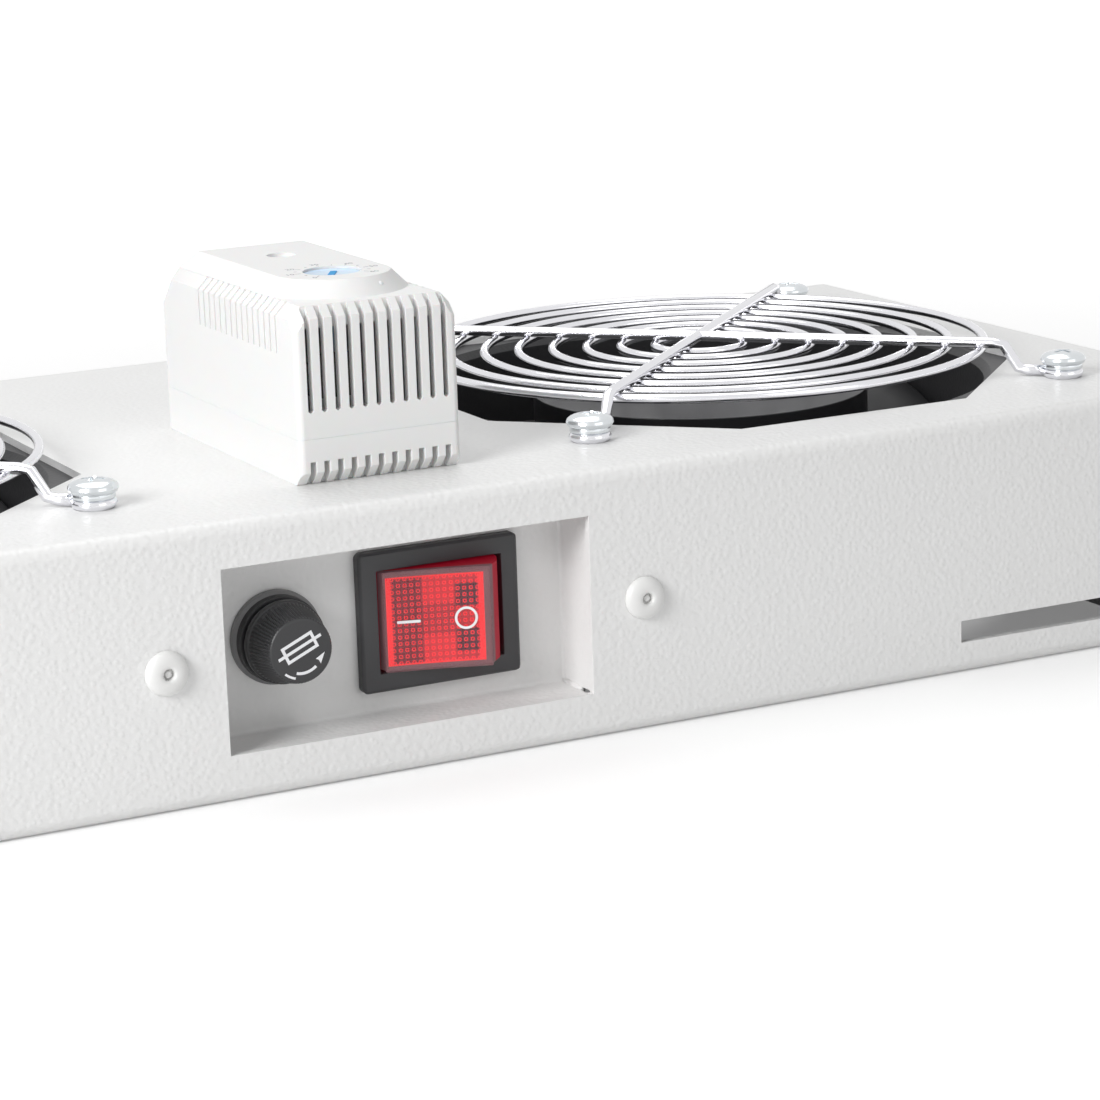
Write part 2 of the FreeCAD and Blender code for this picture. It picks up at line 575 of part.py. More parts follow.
def make_fan_core(side, sign):
    """Shaft, its two bearings and the slotted stator round the bearing tube."""
    centre = fan_centre(sign)
    shaft_top = f"({HUB_TOP} - dim.shaft_seat)"
    shaft = new_body(f"fan_{side}_shaft", x=centre)
    pad(shaft, sketch_on(shaft, "XY", shaft_top, circle("dim.shaft")), "dim.shaft_length",
        forward=False)
    node(shaft, f"fan_{side}_shaft")
    bearing = new_body(f"fan_{side}_bearing")
    ring = (circle("dim.tube_inner"), circle("dim.shaft + 2 * dim.bearing_gap"))
    pad(bearing, sketch_on(bearing, "XY", "0", *ring), "dim.bearing_thick")
    copies(f"fan_{side}_bearings", bearing,
           [(centre, "0", f"{TUBE_TOP} - dim.bearing_thick"),
            (centre, "0", f"{TUBE_TOP} - dim.bearing_spread")])
    stator = new_body(f"fan_{side}_stator", x=centre)
    pack = (circle("dim.stator"), circle("dim.tube_outer"))
    pad(stator, sketch_on(stator, "XY", f"{MOTOR_TOP} + dim.stator_lift", *pack),
        "dim.stator_height")
    slot = sketch_on(stator, "XY", MOTOR_TOP,
                     rectangle("dim.tube_outer / 2 + dim.pole_slot / 2", "dim.stator / 2 + dim.cut_over",
                               "-dim.pole_slot / 2", "dim.pole_slot / 2"))
    around(stator, pocket(stator, slot, "dim.stator_height + dim.cut_over"), "dim.stator_poles")
    node(stator, f"fan_{side}_stator")


RING_Z = f"({TOP} + dim.guard_lift)"
ARM_Z = f"({RING_Z} + dim.ring_wire / 2 + dim.arm_wire / 2 - dim.weld_sink)"
LOOP_Z = f"({TOP} + dim.arm_seat + dim.arm_wire / 2)"
LOOP_REACH = f"({FAN_HOLE_PITCH} / sqrt(2))"
ARM_FOOT = f"({LOOP_REACH} - dim.arm_foot)"
ARM_CROWN = f"({ARM_FOOT} - dim.arm_slope)"
RING_STEP = "((dim.fan_size / 2 - dim.ring_last_inset - dim.ring_first) / (dim.ring_count - 1))"


def make_guard(side, sign):
    """Wire guard: concentric rings welded under two crossed arms that end in screw loops."""
    body = new_body(f"fan_{side}_guard", x=fan_centre(sign))
    turn_by = FreeCAD.Rotation(Vector(0, 0, 1), 45)
    body.Placement = FreeCAD.Placement(body.Placement.Base, turn_by)
    place(body, x=fan_centre(sign))
    reach = f"({LOOP_REACH} - dim.loop_outer / 2 + dim.arm_weld)"
    centre_line = [(f"-{reach}", LOOP_Z), (f"-{ARM_FOOT}", LOOP_Z), (f"-{ARM_CROWN}", ARM_Z),
                   (ARM_CROWN, ARM_Z), (ARM_FOOT, LOOP_Z), (reach, LOOP_Z)]
    upper = [(x, f"{z} + dim.arm_wire / 2") for x, z in reversed(centre_line)]
    lower = [(x, f"{z} - dim.arm_wire / 2") for x, z in centre_line]
    for plane in ("XZ", "YZ"):
        arm = sketch_on(body, plane, "-dim.arm_wire / 2", polygon(*lower, *upper))
        pad(body, arm, "dim.arm_wire")
    half_wire = "dim.ring_wire / 2"
    rings = []
    for index in range(int(size("dim.ring_count"))):
        radius = f"(dim.ring_first + {index} * {RING_STEP})"
        rings.append(rectangle(f"{radius} - {half_wire}", f"{radius} + {half_wire}",
                               f"{RING_Z} - {half_wire}", f"{RING_Z} + {half_wire}"))
    turned(body, sketch_on(body, "XZ", "0", *rings))
    loops = []
    for across, up in ((-1, 0), (1, 0), (0, -1), (0, 1)):
        x, y = f"{across} * {LOOP_REACH}", f"{up} * {LOOP_REACH}"
        loops += [circle("dim.loop_outer", x, y), circle("dim.fan_hole", x, y)]
    pad(body, sketch_on(body, "XY", TOP, *loops), "dim.loop_thick")
    node(body, f"fan_{side}_guard")


SCREW_SEAT = f"({TOP} + dim.loop_thick + dim.washer_thick)"
NUT_TOP = f"({UNDER_TOP} - dim.fan_plate)"


def fan_screw_places(level):
    return [(x, y, level) for sign in SIDES.values() for x, y in fan_holes(fan_centre(sign))]


def make_fan_fasteners():
    """Pan-head screws, lock washers and nuts that hold guard, panel and fan together."""
    screw = new_body("fan_screw")
    profile = polygon(("0", "-dim.screw_length"), ("dim.screw / 2", "-dim.screw_length"),
                      ("dim.screw / 2", "0"), ("dim.screw_head / 2", "0"),
                      ("dim.screw_head / 2", "dim.head_rim"), ("dim.head_crown / 2", "dim.head_rise"),
                      ("0", "dim.head_rise"))
    turned(screw, sketch_on(screw, "XZ", "0", profile))
    copies("fan_screws", screw, fan_screw_places(SCREW_SEAT))
    washer = new_body("fan_washer")
    ring = (circle("dim.washer"), circle("dim.screw + 2 * dim.washer_gap"))
    pad(washer, sketch_on(washer, "XY", "0", *ring), "dim.washer_thick")
    copies("fan_washers", washer, fan_screw_places(f"{TOP} + dim.loop_thick"))
    nut = new_body("fan_nut")
    pad(nut, sketch_on(nut, "XY", "0", hexagon("dim.nut_flats"), circle("dim.screw")),
        "dim.nut_thick", forward=False)
    copies("fan_nuts", nut, fan_screw_places(NUT_TOP))


THERMO_FRONT = "(-dim.tray_depth / 2 + dim.thermo_set_back)"
THERMO_REAR = f"({THERMO_FRONT} + dim.thermo_length)"
THERMO_MIDDLE = f"({THERMO_FRONT} + dim.thermo_length / 2)"
DIAL_Y = f"({THERMO_FRONT} + dim.dial_set_back)"
COVER_SCREW_Y = f"({THERMO_MIDDLE} + dim.cover_screw_behind)"
PARTING = f"({TOP} + dim.base_height)"
SHOULDER = f"({TOP} + dim.shoulder)"
CROWN = f"({TOP} + dim.crown)"
VENT_FIRST = "(dim.thermo_x - (dim.vent_count - 1) * dim.vent_pitch / 2)"
VENT_SPAN = "(dim.vent_count - 1) * dim.vent_pitch"


def thermo_fixing(sign):
    return f"({THERMO_MIDDLE} + {sign} * dim.fixing_spread / 2)"


POST_Y = f"({thermo_fixing(-1)} + dim.post_behind_screw)"


def thermo_outline(inset="0"):
    return rectangle(f"dim.thermo_x - dim.thermo_width / 2 + {inset}",
                     f"dim.thermo_x + dim.thermo_width / 2 - {inset}",
                     f"{THERMO_FRONT} + {inset}", f"{THERMO_REAR} - {inset}")


def make_thermostat_base():
    """Moulded base with foot vents, screw bosses and the plug that locates the cover."""
    body = new_body("thermostat_base")
    block = pad(body, sketch_on(body, "XY", TOP, thermo_outline()), "dim.base_height")

    def front_foot(edge):
        box = edge.BoundBox
        return same(box.ZMax, TOP) and same(box.YMax, THERMO_FRONT) and box.XLength > 1
    foot = chamfer(body, block, "dim.foot_chamfer", front_foot)
    fillet(body, foot, "dim.corner_round", upright)
    lip = "(dim.thermo_wall + dim.cover_lip_gap)"
    pad(body, sketch_on(body, "XY", PARTING, thermo_outline(lip)), "dim.cover_lip")
    tray = f"({lip} + dim.cover_lip)"
    floor = f"({TOP} + dim.thermo_wall)"
    pocket(body, sketch_on(body, "XY", floor, thermo_outline(tray)),
           f"{PARTING} + dim.cover_lip - {floor}")
    bosses = [circle("dim.base_boss", "dim.thermo_x", station)
              for station in (thermo_fixing(-1), thermo_fixing(1), COVER_SCREW_Y)]
    pad(body, sketch_on(body, "XY", TOP, *bosses), "dim.base_height")
    pocket(body, sketch_on(body, "XY", floor, circle("dim.cover_screw", "dim.thermo_x", COVER_SCREW_Y)),
           "dim.base_height")
    holes = [circle("dim.fixing_screw", "dim.thermo_x", thermo_fixing(sign)) for sign in (-1, 1)]
    pocket(body, sketch_on(body, "XY", TOP, *holes), "dim.base_height - dim.boss_cap")
    pocket(body, sketch_on(body, "XY", TOP, circle("dim.wire_hole", "dim.thermo_x", THERMO_MIDDLE)),
           "dim.thermo_wall")
    vent = centred("dim.vent_width", "dim.foot_vent_high", VENT_FIRST, f"({TOP} + dim.foot_vent_high / 2)")
    along(body, pocket(body, sketch_on(body, "XZ", THERMO_FRONT, vent), "dim.foot_vent_deep"),
          "dim.vent_count", VENT_SPAN)
    node(body, "thermostat_base")


def make_thermostat_cover():
    """Moulded cover: chamfered shell with front vents, side grooves and the raised crown."""
    body = new_body("thermostat_cover")
    height = "(dim.shoulder - dim.base_height)"
    block = pad(body, sketch_on(body, "XY", PARTING, thermo_outline()), height)

    def top_edge_at(station):
        def test(edge):
            box = edge.BoundBox
            return (same(box.ZMin, SHOULDER) and same(box.YMin, station)
                    and same(box.YMax, station) and box.XLength > 1)
        return test

    def side_top(edge):
        box = edge.BoundBox
        at_side = abs(abs((box.XMin + box.XMax) / 2 - size("dim.thermo_x"))
                      - size("dim.thermo_width / 2")) < 0.01
        return same(box.ZMax, SHOULDER) and at_side and box.XLength < 0.01 and box.YLength > 1
    rear = chamfer(body, block, "dim.rear_chamfer", top_edge_at(THERMO_REAR))
    front = chamfer(body, rear, "dim.front_chamfer", top_edge_at(THERMO_FRONT))
    sides = chamfer(body, front, "dim.side_chamfer", side_top)
    fillet(body, sides, "dim.corner_round", upright)
    crown_foot = "(dim.crown_half + dim.crown_slope)"
    sunk = f"({SHOULDER} - dim.crown_sink)"
    cone = polygon(("0", sunk), (crown_foot, sunk), (crown_foot, SHOULDER),
                   ("dim.crown_half", CROWN), ("0", CROWN))
    cone_sketch = sketch_on(body, "XZ", DIAL_Y, cone)
    bind(cone_sketch, AttachmentOffset__Base__x="dim.thermo_x")
    turned(body, cone_sketch)
    left, right = f"dim.thermo_x - {crown_foot}", f"dim.thermo_x + {crown_foot}"
    ridge = polygon((left, sunk), (right, sunk), (right, SHOULDER),
                    ("dim.thermo_x + dim.crown_half", CROWN), ("dim.thermo_x - dim.crown_half", CROWN),
                    (left, SHOULDER))
    ridge_end = f"({THERMO_REAR} - dim.rear_chamfer)"
    pad(body, sketch_on(body, "XZ", DIAL_Y, ridge), f"{ridge_end} - {DIAL_Y}")
    above = f"({CROWN} + dim.cut_over)"
    slant = polygon((f"{ridge_end} - dim.crown - dim.cut_over + dim.shoulder", above),
                    (f"{ridge_end} + dim.cut_over", above), (f"{ridge_end} + dim.cut_over", SHOULDER),
                    (ridge_end, SHOULDER))
    pocket(body, sketch_on(body, "YZ", "dim.thermo_x - dim.thermo_width / 2", slant), "dim.thermo_width")
    pocket(body, sketch_on(body, "XY", PARTING, thermo_outline("dim.thermo_wall")),
           f"{height} - dim.thermo_wall - dim.side_chamfer")
    for bore, station, depth in (
            ("dim.dial + 2 * dim.dial_gap", DIAL_Y, "dim.dial_thick + dim.dial_sink + dim.dial_gap"),
            ("dim.dial_shaft + 2 * dim.dial_gap", DIAL_Y, "dim.crown"),
            ("dim.cover_screw_head + 2 * dim.dial_gap", COVER_SCREW_Y, "dim.cover_screw_sink"),
            ("dim.cover_screw", COVER_SCREW_Y, "dim.crown")):
        pocket(body, sketch_on(body, "XY", CROWN, circle(bore, "dim.thermo_x", station)), depth,
               forward=False)
    foot, over = f"({TOP} + dim.vent_low)", f"({SHOULDER} + dim.cut_over)"
    left, right = f"({VENT_FIRST} - dim.vent_width / 2)", f"({VENT_FIRST} + dim.vent_width / 2)"
    profile = polygon((left, f"{foot} + dim.vent_corner"), (f"{left} + dim.vent_corner", foot),
                      (f"{right} - dim.vent_corner", foot), (right, f"{foot} + dim.vent_corner"),
                      (right, over), (left, over))
    vent = pocket(body, sketch_on(body, "XZ", THERMO_FRONT, profile), "dim.vent_deep")
    along(body, vent, "dim.vent_count", VENT_SPAN)
    low = f"({TOP} + dim.groove_low)"
    bend = f"({SHOULDER} - dim.side_chamfer)"
    cuts = []
    for sign in (-1, 1):
        wall = f"dim.thermo_x + {sign} * dim.thermo_width / 2"
        cuts.append(polygon((f"{wall} + {sign}", low), (f"{wall} - {sign} * dim.groove_deep", low),
                            (f"{wall} - {sign} * dim.groove_deep", bend),
                            (f"{wall} - {sign} * (dim.groove_deep + dim.side_chamfer)", SHOULDER),
                            (f"{wall} + {sign}", SHOULDER)))
    groove = pocket(body, sketch_on(body, "XZ", f"{THERMO_FRONT} + dim.groove_first", *cuts),
                    "dim.groove_width")
    along(body, groove, "dim.groove_count", "(dim.groove_count - 1) * dim.groove_pitch", axis="Y")
    node(body, "thermostat_cover")


def make_thermostat_works():
    """Setting dial, cover screw, bimetal strip on its post and the screws from below."""
    dial = new_body("thermostat_dial", x="dim.thermo_x", y=DIAL_Y, z=f"{CROWN} - dim.dial_sink")
    for across, long in (("dim.dial", "dim.dial_thick"), ("dim.dial_shaft", "dim.dial_shaft_length")):
        pad(dial, sketch_on(dial, "XY", "0", circle(across)), long, forward=False)
    pocket(dial, sketch_on(dial, "XY", "0", centred("dim.dial_slot", "dim.dial_slot_long")),
           "dim.dial_slot_deep", forward=False)
    node(dial, "thermostat_dial")

    screw = new_body("thermostat_cover_screw", x="dim.thermo_x", y=COVER_SCREW_Y,
                     z=f"{CROWN} - dim.cover_screw_sink")
    shank = "(dim.crown - dim.cover_screw_sink - dim.thermo_wall)"
    pad(screw, sketch_on(screw, "XY", "0", circle("dim.cover_screw_head")), "dim.cover_screw_head_high")
    pad(screw, sketch_on(screw, "XY", "0", circle("dim.cover_screw")), shank, forward=False)
    node(screw, "thermostat_cover_screw")

    post = new_body("thermostat_post", x="dim.thermo_x", y=POST_Y, z=f"{TOP} + dim.thermo_wall")
    pad(post, sketch_on(post, "XY", "0", centred("dim.bimetal_wide", "dim.post")), "dim.post_height")
    node(post, "thermostat_post")

    strip = new_body("thermostat_bimetal", x="dim.thermo_x", y=f"{POST_Y} - dim.post / 2",
                     z=f"{TOP} + dim.thermo_wall + dim.post_height")
    bent = polygon(("0", "0"), ("dim.bimetal_length", "0"), ("dim.bimetal_length", "dim.bimetal_thick"),
                   ("dim.bimetal_thick", "dim.bimetal_thick"), ("dim.bimetal_thick", "dim.bimetal_rise"),
                   ("0", "dim.bimetal_rise"))
    pad(strip, sketch_on(strip, "YZ", "-dim.bimetal_wide / 2", bent), "dim.bimetal_wide")
    node(strip, "thermostat_bimetal")

    fixing = new_body("fixing_screw")
    pad(fixing, sketch_on(fixing, "XY", "0", circle("dim.fixing_head")), "dim.fixing_head_high",
        forward=False)
    pad(fixing, sketch_on(fixing, "XY", "0", circle("dim.fixing_screw")),
        "dim.sheet + dim.base_height - dim.thermo_wall")
    copies("thermostat_fixing_screws", fixing,
           [("dim.thermo_x", thermo_fixing(sign), UNDER_TOP) for sign in (-1, 1)])


BEZEL_FACE = f"({PAN_FACE} - dim.bezel_thick)"
PIVOT_Y = f"({BEZEL_FACE} + dim.pivot_depth)"


def make_switch_case():
    """Snap-in switch case: bezel, case, rocker well, pivot holes and side latches."""
    body = new_body("switch_case", x="dim.switch_x", z="dim.control_z")
    bezel = pad(body, sketch_on(body, "XZ", BEZEL_FACE, centred("dim.bezel_width", "dim.bezel_height")),
                "dim.bezel_thick")

    def corner(edge):
        box = edge.BoundBox
        return box.XLength < 0.01 and box.ZLength < 0.01
    eased = chamfer(body, bezel, "dim.bezel_edge", level_edge("Y", BEZEL_FACE))
    fillet(body, eased, "dim.bezel_corner", corner)
    pad(body, sketch_on(body, "XZ", PAN_FACE, centred("dim.case_width", "dim.case_height")),
        "dim.case_depth")
    pocket(body, sketch_on(body, "XZ", BEZEL_FACE, centred("dim.well_width", "dim.well_height")),
           "dim.well_depth")
    latch_y = f"({PAN_BACK} + dim.latch_gap)"
    for sign in (-1, 1):
        wall = f"{sign} * dim.case_width / 2"
        root = f"{wall} - {sign} * dim.latch_rise"
        latch_end = f"{latch_y} + dim.latch_long"
        wedge = polygon((root, latch_y), (f"{wall} + {sign} * dim.latch_rise", latch_y),
                        (wall, latch_end), (root, latch_end))
        pad(body, sketch_on(body, "XY", "-dim.latch_long / 2", wedge), "dim.latch_long")
    holes = sketch_on(body, "XY", "-dim.well_height / 2 - dim.pivot_length - dim.pivot_gap",
                      circle("dim.pivot + 2 * dim.pivot_gap", "0", PIVOT_Y))
    pocket(body, holes, "dim.well_height + 2 * dim.pivot_length + 2 * dim.pivot_gap")
    node(body, "switch_case")


def make_switch_rocker():
    """Hollow rocker with a shallow two-face front, swinging on stub pivots in the case."""
    body = new_body("switch_rocker")
    upward = FreeCAD.Rotation(Vector(0, 0, 1), 0)
    body.Placement = FreeCAD.Placement(Vector(0, 0, 0), upward)
    place(body, "dim.switch_x", PIVOT_Y, "dim.control_z")
    bind(body, Placement__Rotation__Angle="-dim.rocker_tilt")
    side = "sqrt(dim.rocker_swing ^ 2 - dim.rocker_skirt ^ 2)"
    profile = polygon(("-dim.rocker_half", "-dim.rocker_end_rise"), ("0", "-dim.rocker_mid_rise"),
                      ("dim.rocker_half", "-dim.rocker_end_rise"), (side, "-dim.rocker_skirt"),
                      ("dim.rocker_swing", "0"), (side, "dim.rocker_skirt"),
                      (f"-{side}", "dim.rocker_skirt"), ("-dim.rocker_swing", "0"),
                      (f"-{side}", "-dim.rocker_skirt"))
    tall = "(dim.well_height - 2 * dim.rocker_gap)"
    pad(body, sketch_on(body, "XY", f"-{tall} / 2", profile), tall)
    hollow = rectangle("-dim.rocker_half + dim.rocker_wall", "dim.rocker_half - dim.rocker_wall",
                       "-dim.rocker_mid_rise + dim.rocker_front_wall", "dim.rocker_skirt + dim.cut_over")
    pocket(body, sketch_on(body, "XY", f"-{tall} / 2 + dim.rocker_wall", hollow),
           f"{tall} - 2 * dim.rocker_wall")
    stub = "(dim.pivot_length + dim.rocker_gap)"
    for level in (f"{tall} / 2 - dim.rocker_wall", f"-{tall} / 2 - {stub}"):
        pad(body, sketch_on(body, "XY", level, circle("dim.pivot")), f"{stub} + dim.rocker_wall")
    node(body, "switch_rocker")


def make_switch_insides():
    """Neon lamp on its two legs inside the rocker, and the four spade tabs behind."""
    lamp = new_body("switch_lamp", "dim.switch_x", PIVOT_Y, "dim.control_z")
    pad(lamp, sketch_on(lamp, "XY", "-dim.lamp_length / 2", circle("dim.lamp")), "dim.lamp_length")
    reach = "(dim.well_depth - dim.pivot_depth)"
    legs = [centred("dim.lamp_leg", "dim.lamp_leg", "0", f"{up} * dim.lamp_leg_spread / 2")
            for up in (-1, 1)]
    pad(lamp, sketch_on(lamp, "XZ", "0", *legs), reach)
    node(lamp, "switch_lamp")

    tab = new_body("switch_tab")
    pad(tab, sketch_on(tab, "XZ", "0", centred("dim.tab_wide", "dim.tab_thick")), "dim.tab_long")
    copies("switch_tabs", tab,
           [(f"dim.switch_x + {across} * dim.tab_pitch_x / 2", f"{PAN_FACE} + dim.case_depth",
             f"dim.control_z + {up} * dim.tab_pitch_z / 2") for across in (-1, 1) for up in (-1, 1)])


COLLAR_FACE = f"({PAN_FACE} - dim.fuse_flange_thick - dim.fuse_collar_long)"
CAP_BACK = f"({COLLAR_FACE} - dim.fuse_cap_gap)"
CAP_FACE = f"({FRONT} + dim.fuse_cap_set_back)"
BARREL_END = f"({PAN_FACE} + dim.fuse_barrel_long)"
FUSE_REAR = f"({BARREL_END} - dim.fuse_seat - dim.fuse_rest_gap)"


def make_fuse_holder():
    """Holder body, its lock nut behind the pan, the knurled cap and the sleeve in the cap."""
    body = new_body("fuse_body", x="dim.fuse_x", z="dim.control_z")
    profile = polygon(("dim.fuse_bore / 2", COLLAR_FACE), ("dim.fuse_collar / 2", COLLAR_FACE),
                      ("dim.fuse_collar / 2", f"{PAN_FACE} - dim.fuse_flange_thick"),
                      ("dim.fuse_flange / 2", f"{PAN_FACE} - dim.fuse_flange_rim"),
                      ("dim.fuse_flange / 2", PAN_FACE), ("dim.fuse_barrel / 2", PAN_FACE),
                      ("dim.fuse_barrel / 2", BARREL_END), ("0", BARREL_END),
                      ("0", f"{BARREL_END} - dim.fuse_seat"),
                      ("dim.fuse_bore / 2", f"{BARREL_END} - dim.fuse_seat"))
    turned(body, sketch_on(body, "XY", "0", profile))
    node(body, "fuse_body")

    nut = new_body("fuse_nut", x="dim.fuse_x", z="dim.control_z")
    ring = (hexagon("dim.fuse_nut_flats"), circle("dim.fuse_barrel"))
    pad(nut, sketch_on(nut, "XZ", PAN_BACK, *ring), "dim.fuse_nut_thick")
    node(nut, "fuse_nut")

    cap = new_body("fuse_cap", x="dim.fuse_x", z="dim.control_z")
    socket = f"({CAP_BACK} - dim.fuse_stem_sink)"
    shape = polygon(("0", CAP_FACE), ("dim.fuse_cap_front / 2", CAP_FACE),
                    ("dim.fuse_cap / 2", f"{CAP_FACE} + dim.fuse_cap_bevel"),
                    ("dim.fuse_cap / 2", CAP_BACK), ("dim.fuse_stem / 2", CAP_BACK),
                    ("dim.fuse_stem / 2", socket), ("0", socket))
    turned(cap, sketch_on(cap, "XY", "0", shape))
    rim = "dim.fuse_cap / 2"
    outside = f"{rim} + dim.knurl_deep"
    notch = polygon(("-dim.knurl_wide", outside), ("0", f"{rim} - dim.knurl_deep"),
                    ("dim.knurl_wide", outside))
    cut = pocket(cap, sketch_on(cap, "XZ", CAP_FACE, notch),
                 f"{CAP_BACK} - {CAP_FACE} - dim.knurl_end_band")
    around(cap, cut, "dim.knurl_count", axis="Y")
    node(cap, "fuse_cap")

    carrier = new_body("fuse_carrier", x="dim.fuse_x", z="dim.control_z")
    stem_end = f"({COLLAR_FACE} + dim.fuse_stem_long)"
    grip = "dim.fuse_link / 2 + dim.fuse_grip_gap"
    grip_floor = f"({FUSE_REAR} - dim.fuse_link_long - dim.fuse_rest_gap)"
    sleeve = polygon(("0", socket), ("dim.fuse_stem / 2", socket), ("dim.fuse_stem / 2", stem_end),
                     (grip, stem_end), (grip, grip_floor), ("0", grip_floor))
    turned(carrier, sketch_on(carrier, "XY", "0", sleeve))
    node(carrier, "fuse_carrier")


def make_fuse_link():
    """Glass cartridge fuse with metal end caps, and the holder's two solder tabs."""
    front = f"({FUSE_REAR} - dim.fuse_link_long)"
    glass = new_body("fuse_glass", x="dim.fuse_x", z="dim.control_z")
    bare = "(dim.fuse_link_long - 2 * dim.fuse_cap_metal)"
    pad(glass, sketch_on(glass, "XZ", f"{front} + dim.fuse_cap_metal", circle("dim.fuse_glass")), bare)
    node(glass, "fuse_glass")
    end = new_body("fuse_end")
    pad(end, sketch_on(end, "XZ", "0", circle("dim.fuse_link")), "dim.fuse_cap_metal")
    copies("fuse_end_caps", end, [("dim.fuse_x", front, "dim.control_z"),
                                  ("dim.fuse_x", f"{FUSE_REAR} - dim.fuse_cap_metal", "dim.control_z")])
    tab = new_body("fuse_tab", "dim.fuse_x", BARREL_END, "dim.control_z")
    pad(tab, sketch_on(tab, "XZ", "0", centred("dim.fuse_tab_wide", "dim.tab_thick")), "dim.fuse_tab_long")
    node(tab, "fuse_rear_tab")
    side_tab = new_body("fuse_side", "dim.fuse_x", f"{BARREL_END} - dim.fuse_tab_wide", "dim.control_z")
    section = centred("dim.fuse_tab_wide", "dim.tab_thick")
    pad(side_tab, sketch_on(side_tab, "XY", "-dim.fuse_barrel / 2", section), "dim.fuse_tab_long",
        forward=False)
    node(side_tab, "fuse_side_tab")


def make_gland():
    """Cable gland: hexagon body through the rear wall, lock nut, seal and dome nut."""
    body = new_body("gland_body", "dim.gland_x", REAR, "dim.gland_z")
    thread = "dim.gland_thread"
    pad(body, sketch_on(body, "XZ", "0", hexagon("dim.gland_flats")), "dim.gland_flange")
    pad(body, sketch_on(body, "XZ", "0", circle(thread)), "dim.gland_tail", forward=False)
    pad(body, sketch_on(body, "XZ", "0", circle(thread)), "dim.gland_flange + dim.gland_neck")
    bored = sketch_on(body, "XZ", "-dim.gland_tail", circle("dim.gland_bore"))
    pocket(body, bored, "dim.gland_tail + dim.gland_flange + dim.gland_neck")
    counter = sketch_on(body, "XZ", "dim.gland_flange", circle("dim.seal_outer"))
    pocket(body, counter, "dim.gland_neck")
    node(body, "gland_body")

    seal = new_body("gland_seal", "dim.gland_x", REAR, "dim.gland_z")
    ring = (circle("dim.seal_outer"), circle("dim.seal_inner"))
    pad(seal, sketch_on(seal, "XZ", "dim.gland_flange", *ring), "dim.seal_long")
    node(seal, "gland_seal")

    nut = new_body("gland_nut", "dim.gland_x", REAR, "dim.gland_z")
    start = "(dim.gland_flange + dim.gland_nut_gap)"
    flats_end = f"({start} + dim.gland_flats_long)"
    mouth_end = f"({start} + dim.gland_nut_long)"
    pad(nut, sketch_on(nut, "XZ", start, hexagon("dim.gland_nut_flats")), "dim.gland_flats_long")
    dome = polygon(("0", start), ("dim.gland_nut_flats / 2", start),
                   ("dim.gland_nut_flats / 2", flats_end), ("dim.gland_mouth / 2 + dim.gland_rim", mouth_end),
                   ("0", mouth_end))
    turned(nut, sketch_on(nut, "XY", "0", dome))
    pocket(nut, sketch_on(nut, "XZ", start, circle(thread)), "dim.gland_neck")
    pocket(nut, sketch_on(nut, "XZ", start, circle("dim.gland_mouth")), "dim.gland_nut_long")
    node(nut, "gland_nut")

    lock = new_body("gland_lock_nut", "dim.gland_x", REAR_INSIDE, "dim.gland_z")
    pad(lock, sketch_on(lock, "XZ", "0", hexagon("dim.gland_lock_flats"), circle(thread)),
        "dim.gland_lock_thick", forward=False)
    node(lock, "gland_lock_nut")


BLOCK_PITCH = "(dim.block_width / dim.block_poles)"
BLOCK_SCREW_X = f"(dim.block_x + {BLOCK_PITCH} / 2)"
BLOCK_FOOT = f"({UNDER_TOP} - dim.block_height)"


def make_terminal_block():
    """Three-way terminal block under the top panel, with the screw and nut that hold it."""
    block = new_body("terminal_block", "dim.block_x", "dim.block_y", UNDER_TOP)
    pad(block, sketch_on(block, "XY", "0", centred("dim.block_width", "dim.block_depth")),
        "dim.block_height", forward=False)
    first = f"(-dim.block_width / 2 + {BLOCK_PITCH} / 2)"
    span = f"{BLOCK_PITCH} * (dim.block_poles - 1)"
    way = sketch_on(block, "XZ", "-dim.block_depth / 2",
                    centred("dim.block_way", "dim.block_way", first, "(-dim.block_height / 2)"))
    along(block, pocket(block, way, "dim.block_depth"), "dim.block_poles", span)
    clamps = [centred("dim.block_clamp", "dim.block_clamp", first,
                      f"({deep} * (dim.block_depth / 2 - dim.clamp_inset))")
              for deep in (-1, 1)]
    wells = pocket(block, sketch_on(block, "XY", "-dim.block_height", *clamps), "dim.clamp_deep")
    along(block, wells, "dim.block_poles", span)
    hole = circle("dim.block_screw", f"{BLOCK_PITCH} / 2")
    pocket(block, sketch_on(block, "XY", "-dim.block_height", hole), "dim.block_height")
    node(block, "terminal_block")

    screw = new_body("block_screw", BLOCK_SCREW_X, "dim.block_y", TOP)
    pad(screw, sketch_on(screw, "XY", "0", circle("dim.block_head")), "dim.block_head_high")
    grip = "(dim.sheet + dim.block_height + dim.block_nut_thick + dim.block_screw_spare)"
    pad(screw, sketch_on(screw, "XY", "0", circle("dim.block_screw")), grip, forward=False)
    node(screw, "block_screw")
    nut = new_body("block_nut", BLOCK_SCREW_X, "dim.block_y", BLOCK_FOOT)
    ring = (hexagon("dim.block_nut_flats"), circle("dim.block_screw"))
    pad(nut, sketch_on(nut, "XY", "0", *ring), "dim.block_nut_thick", forward=False)
    node(nut, "block_nut")


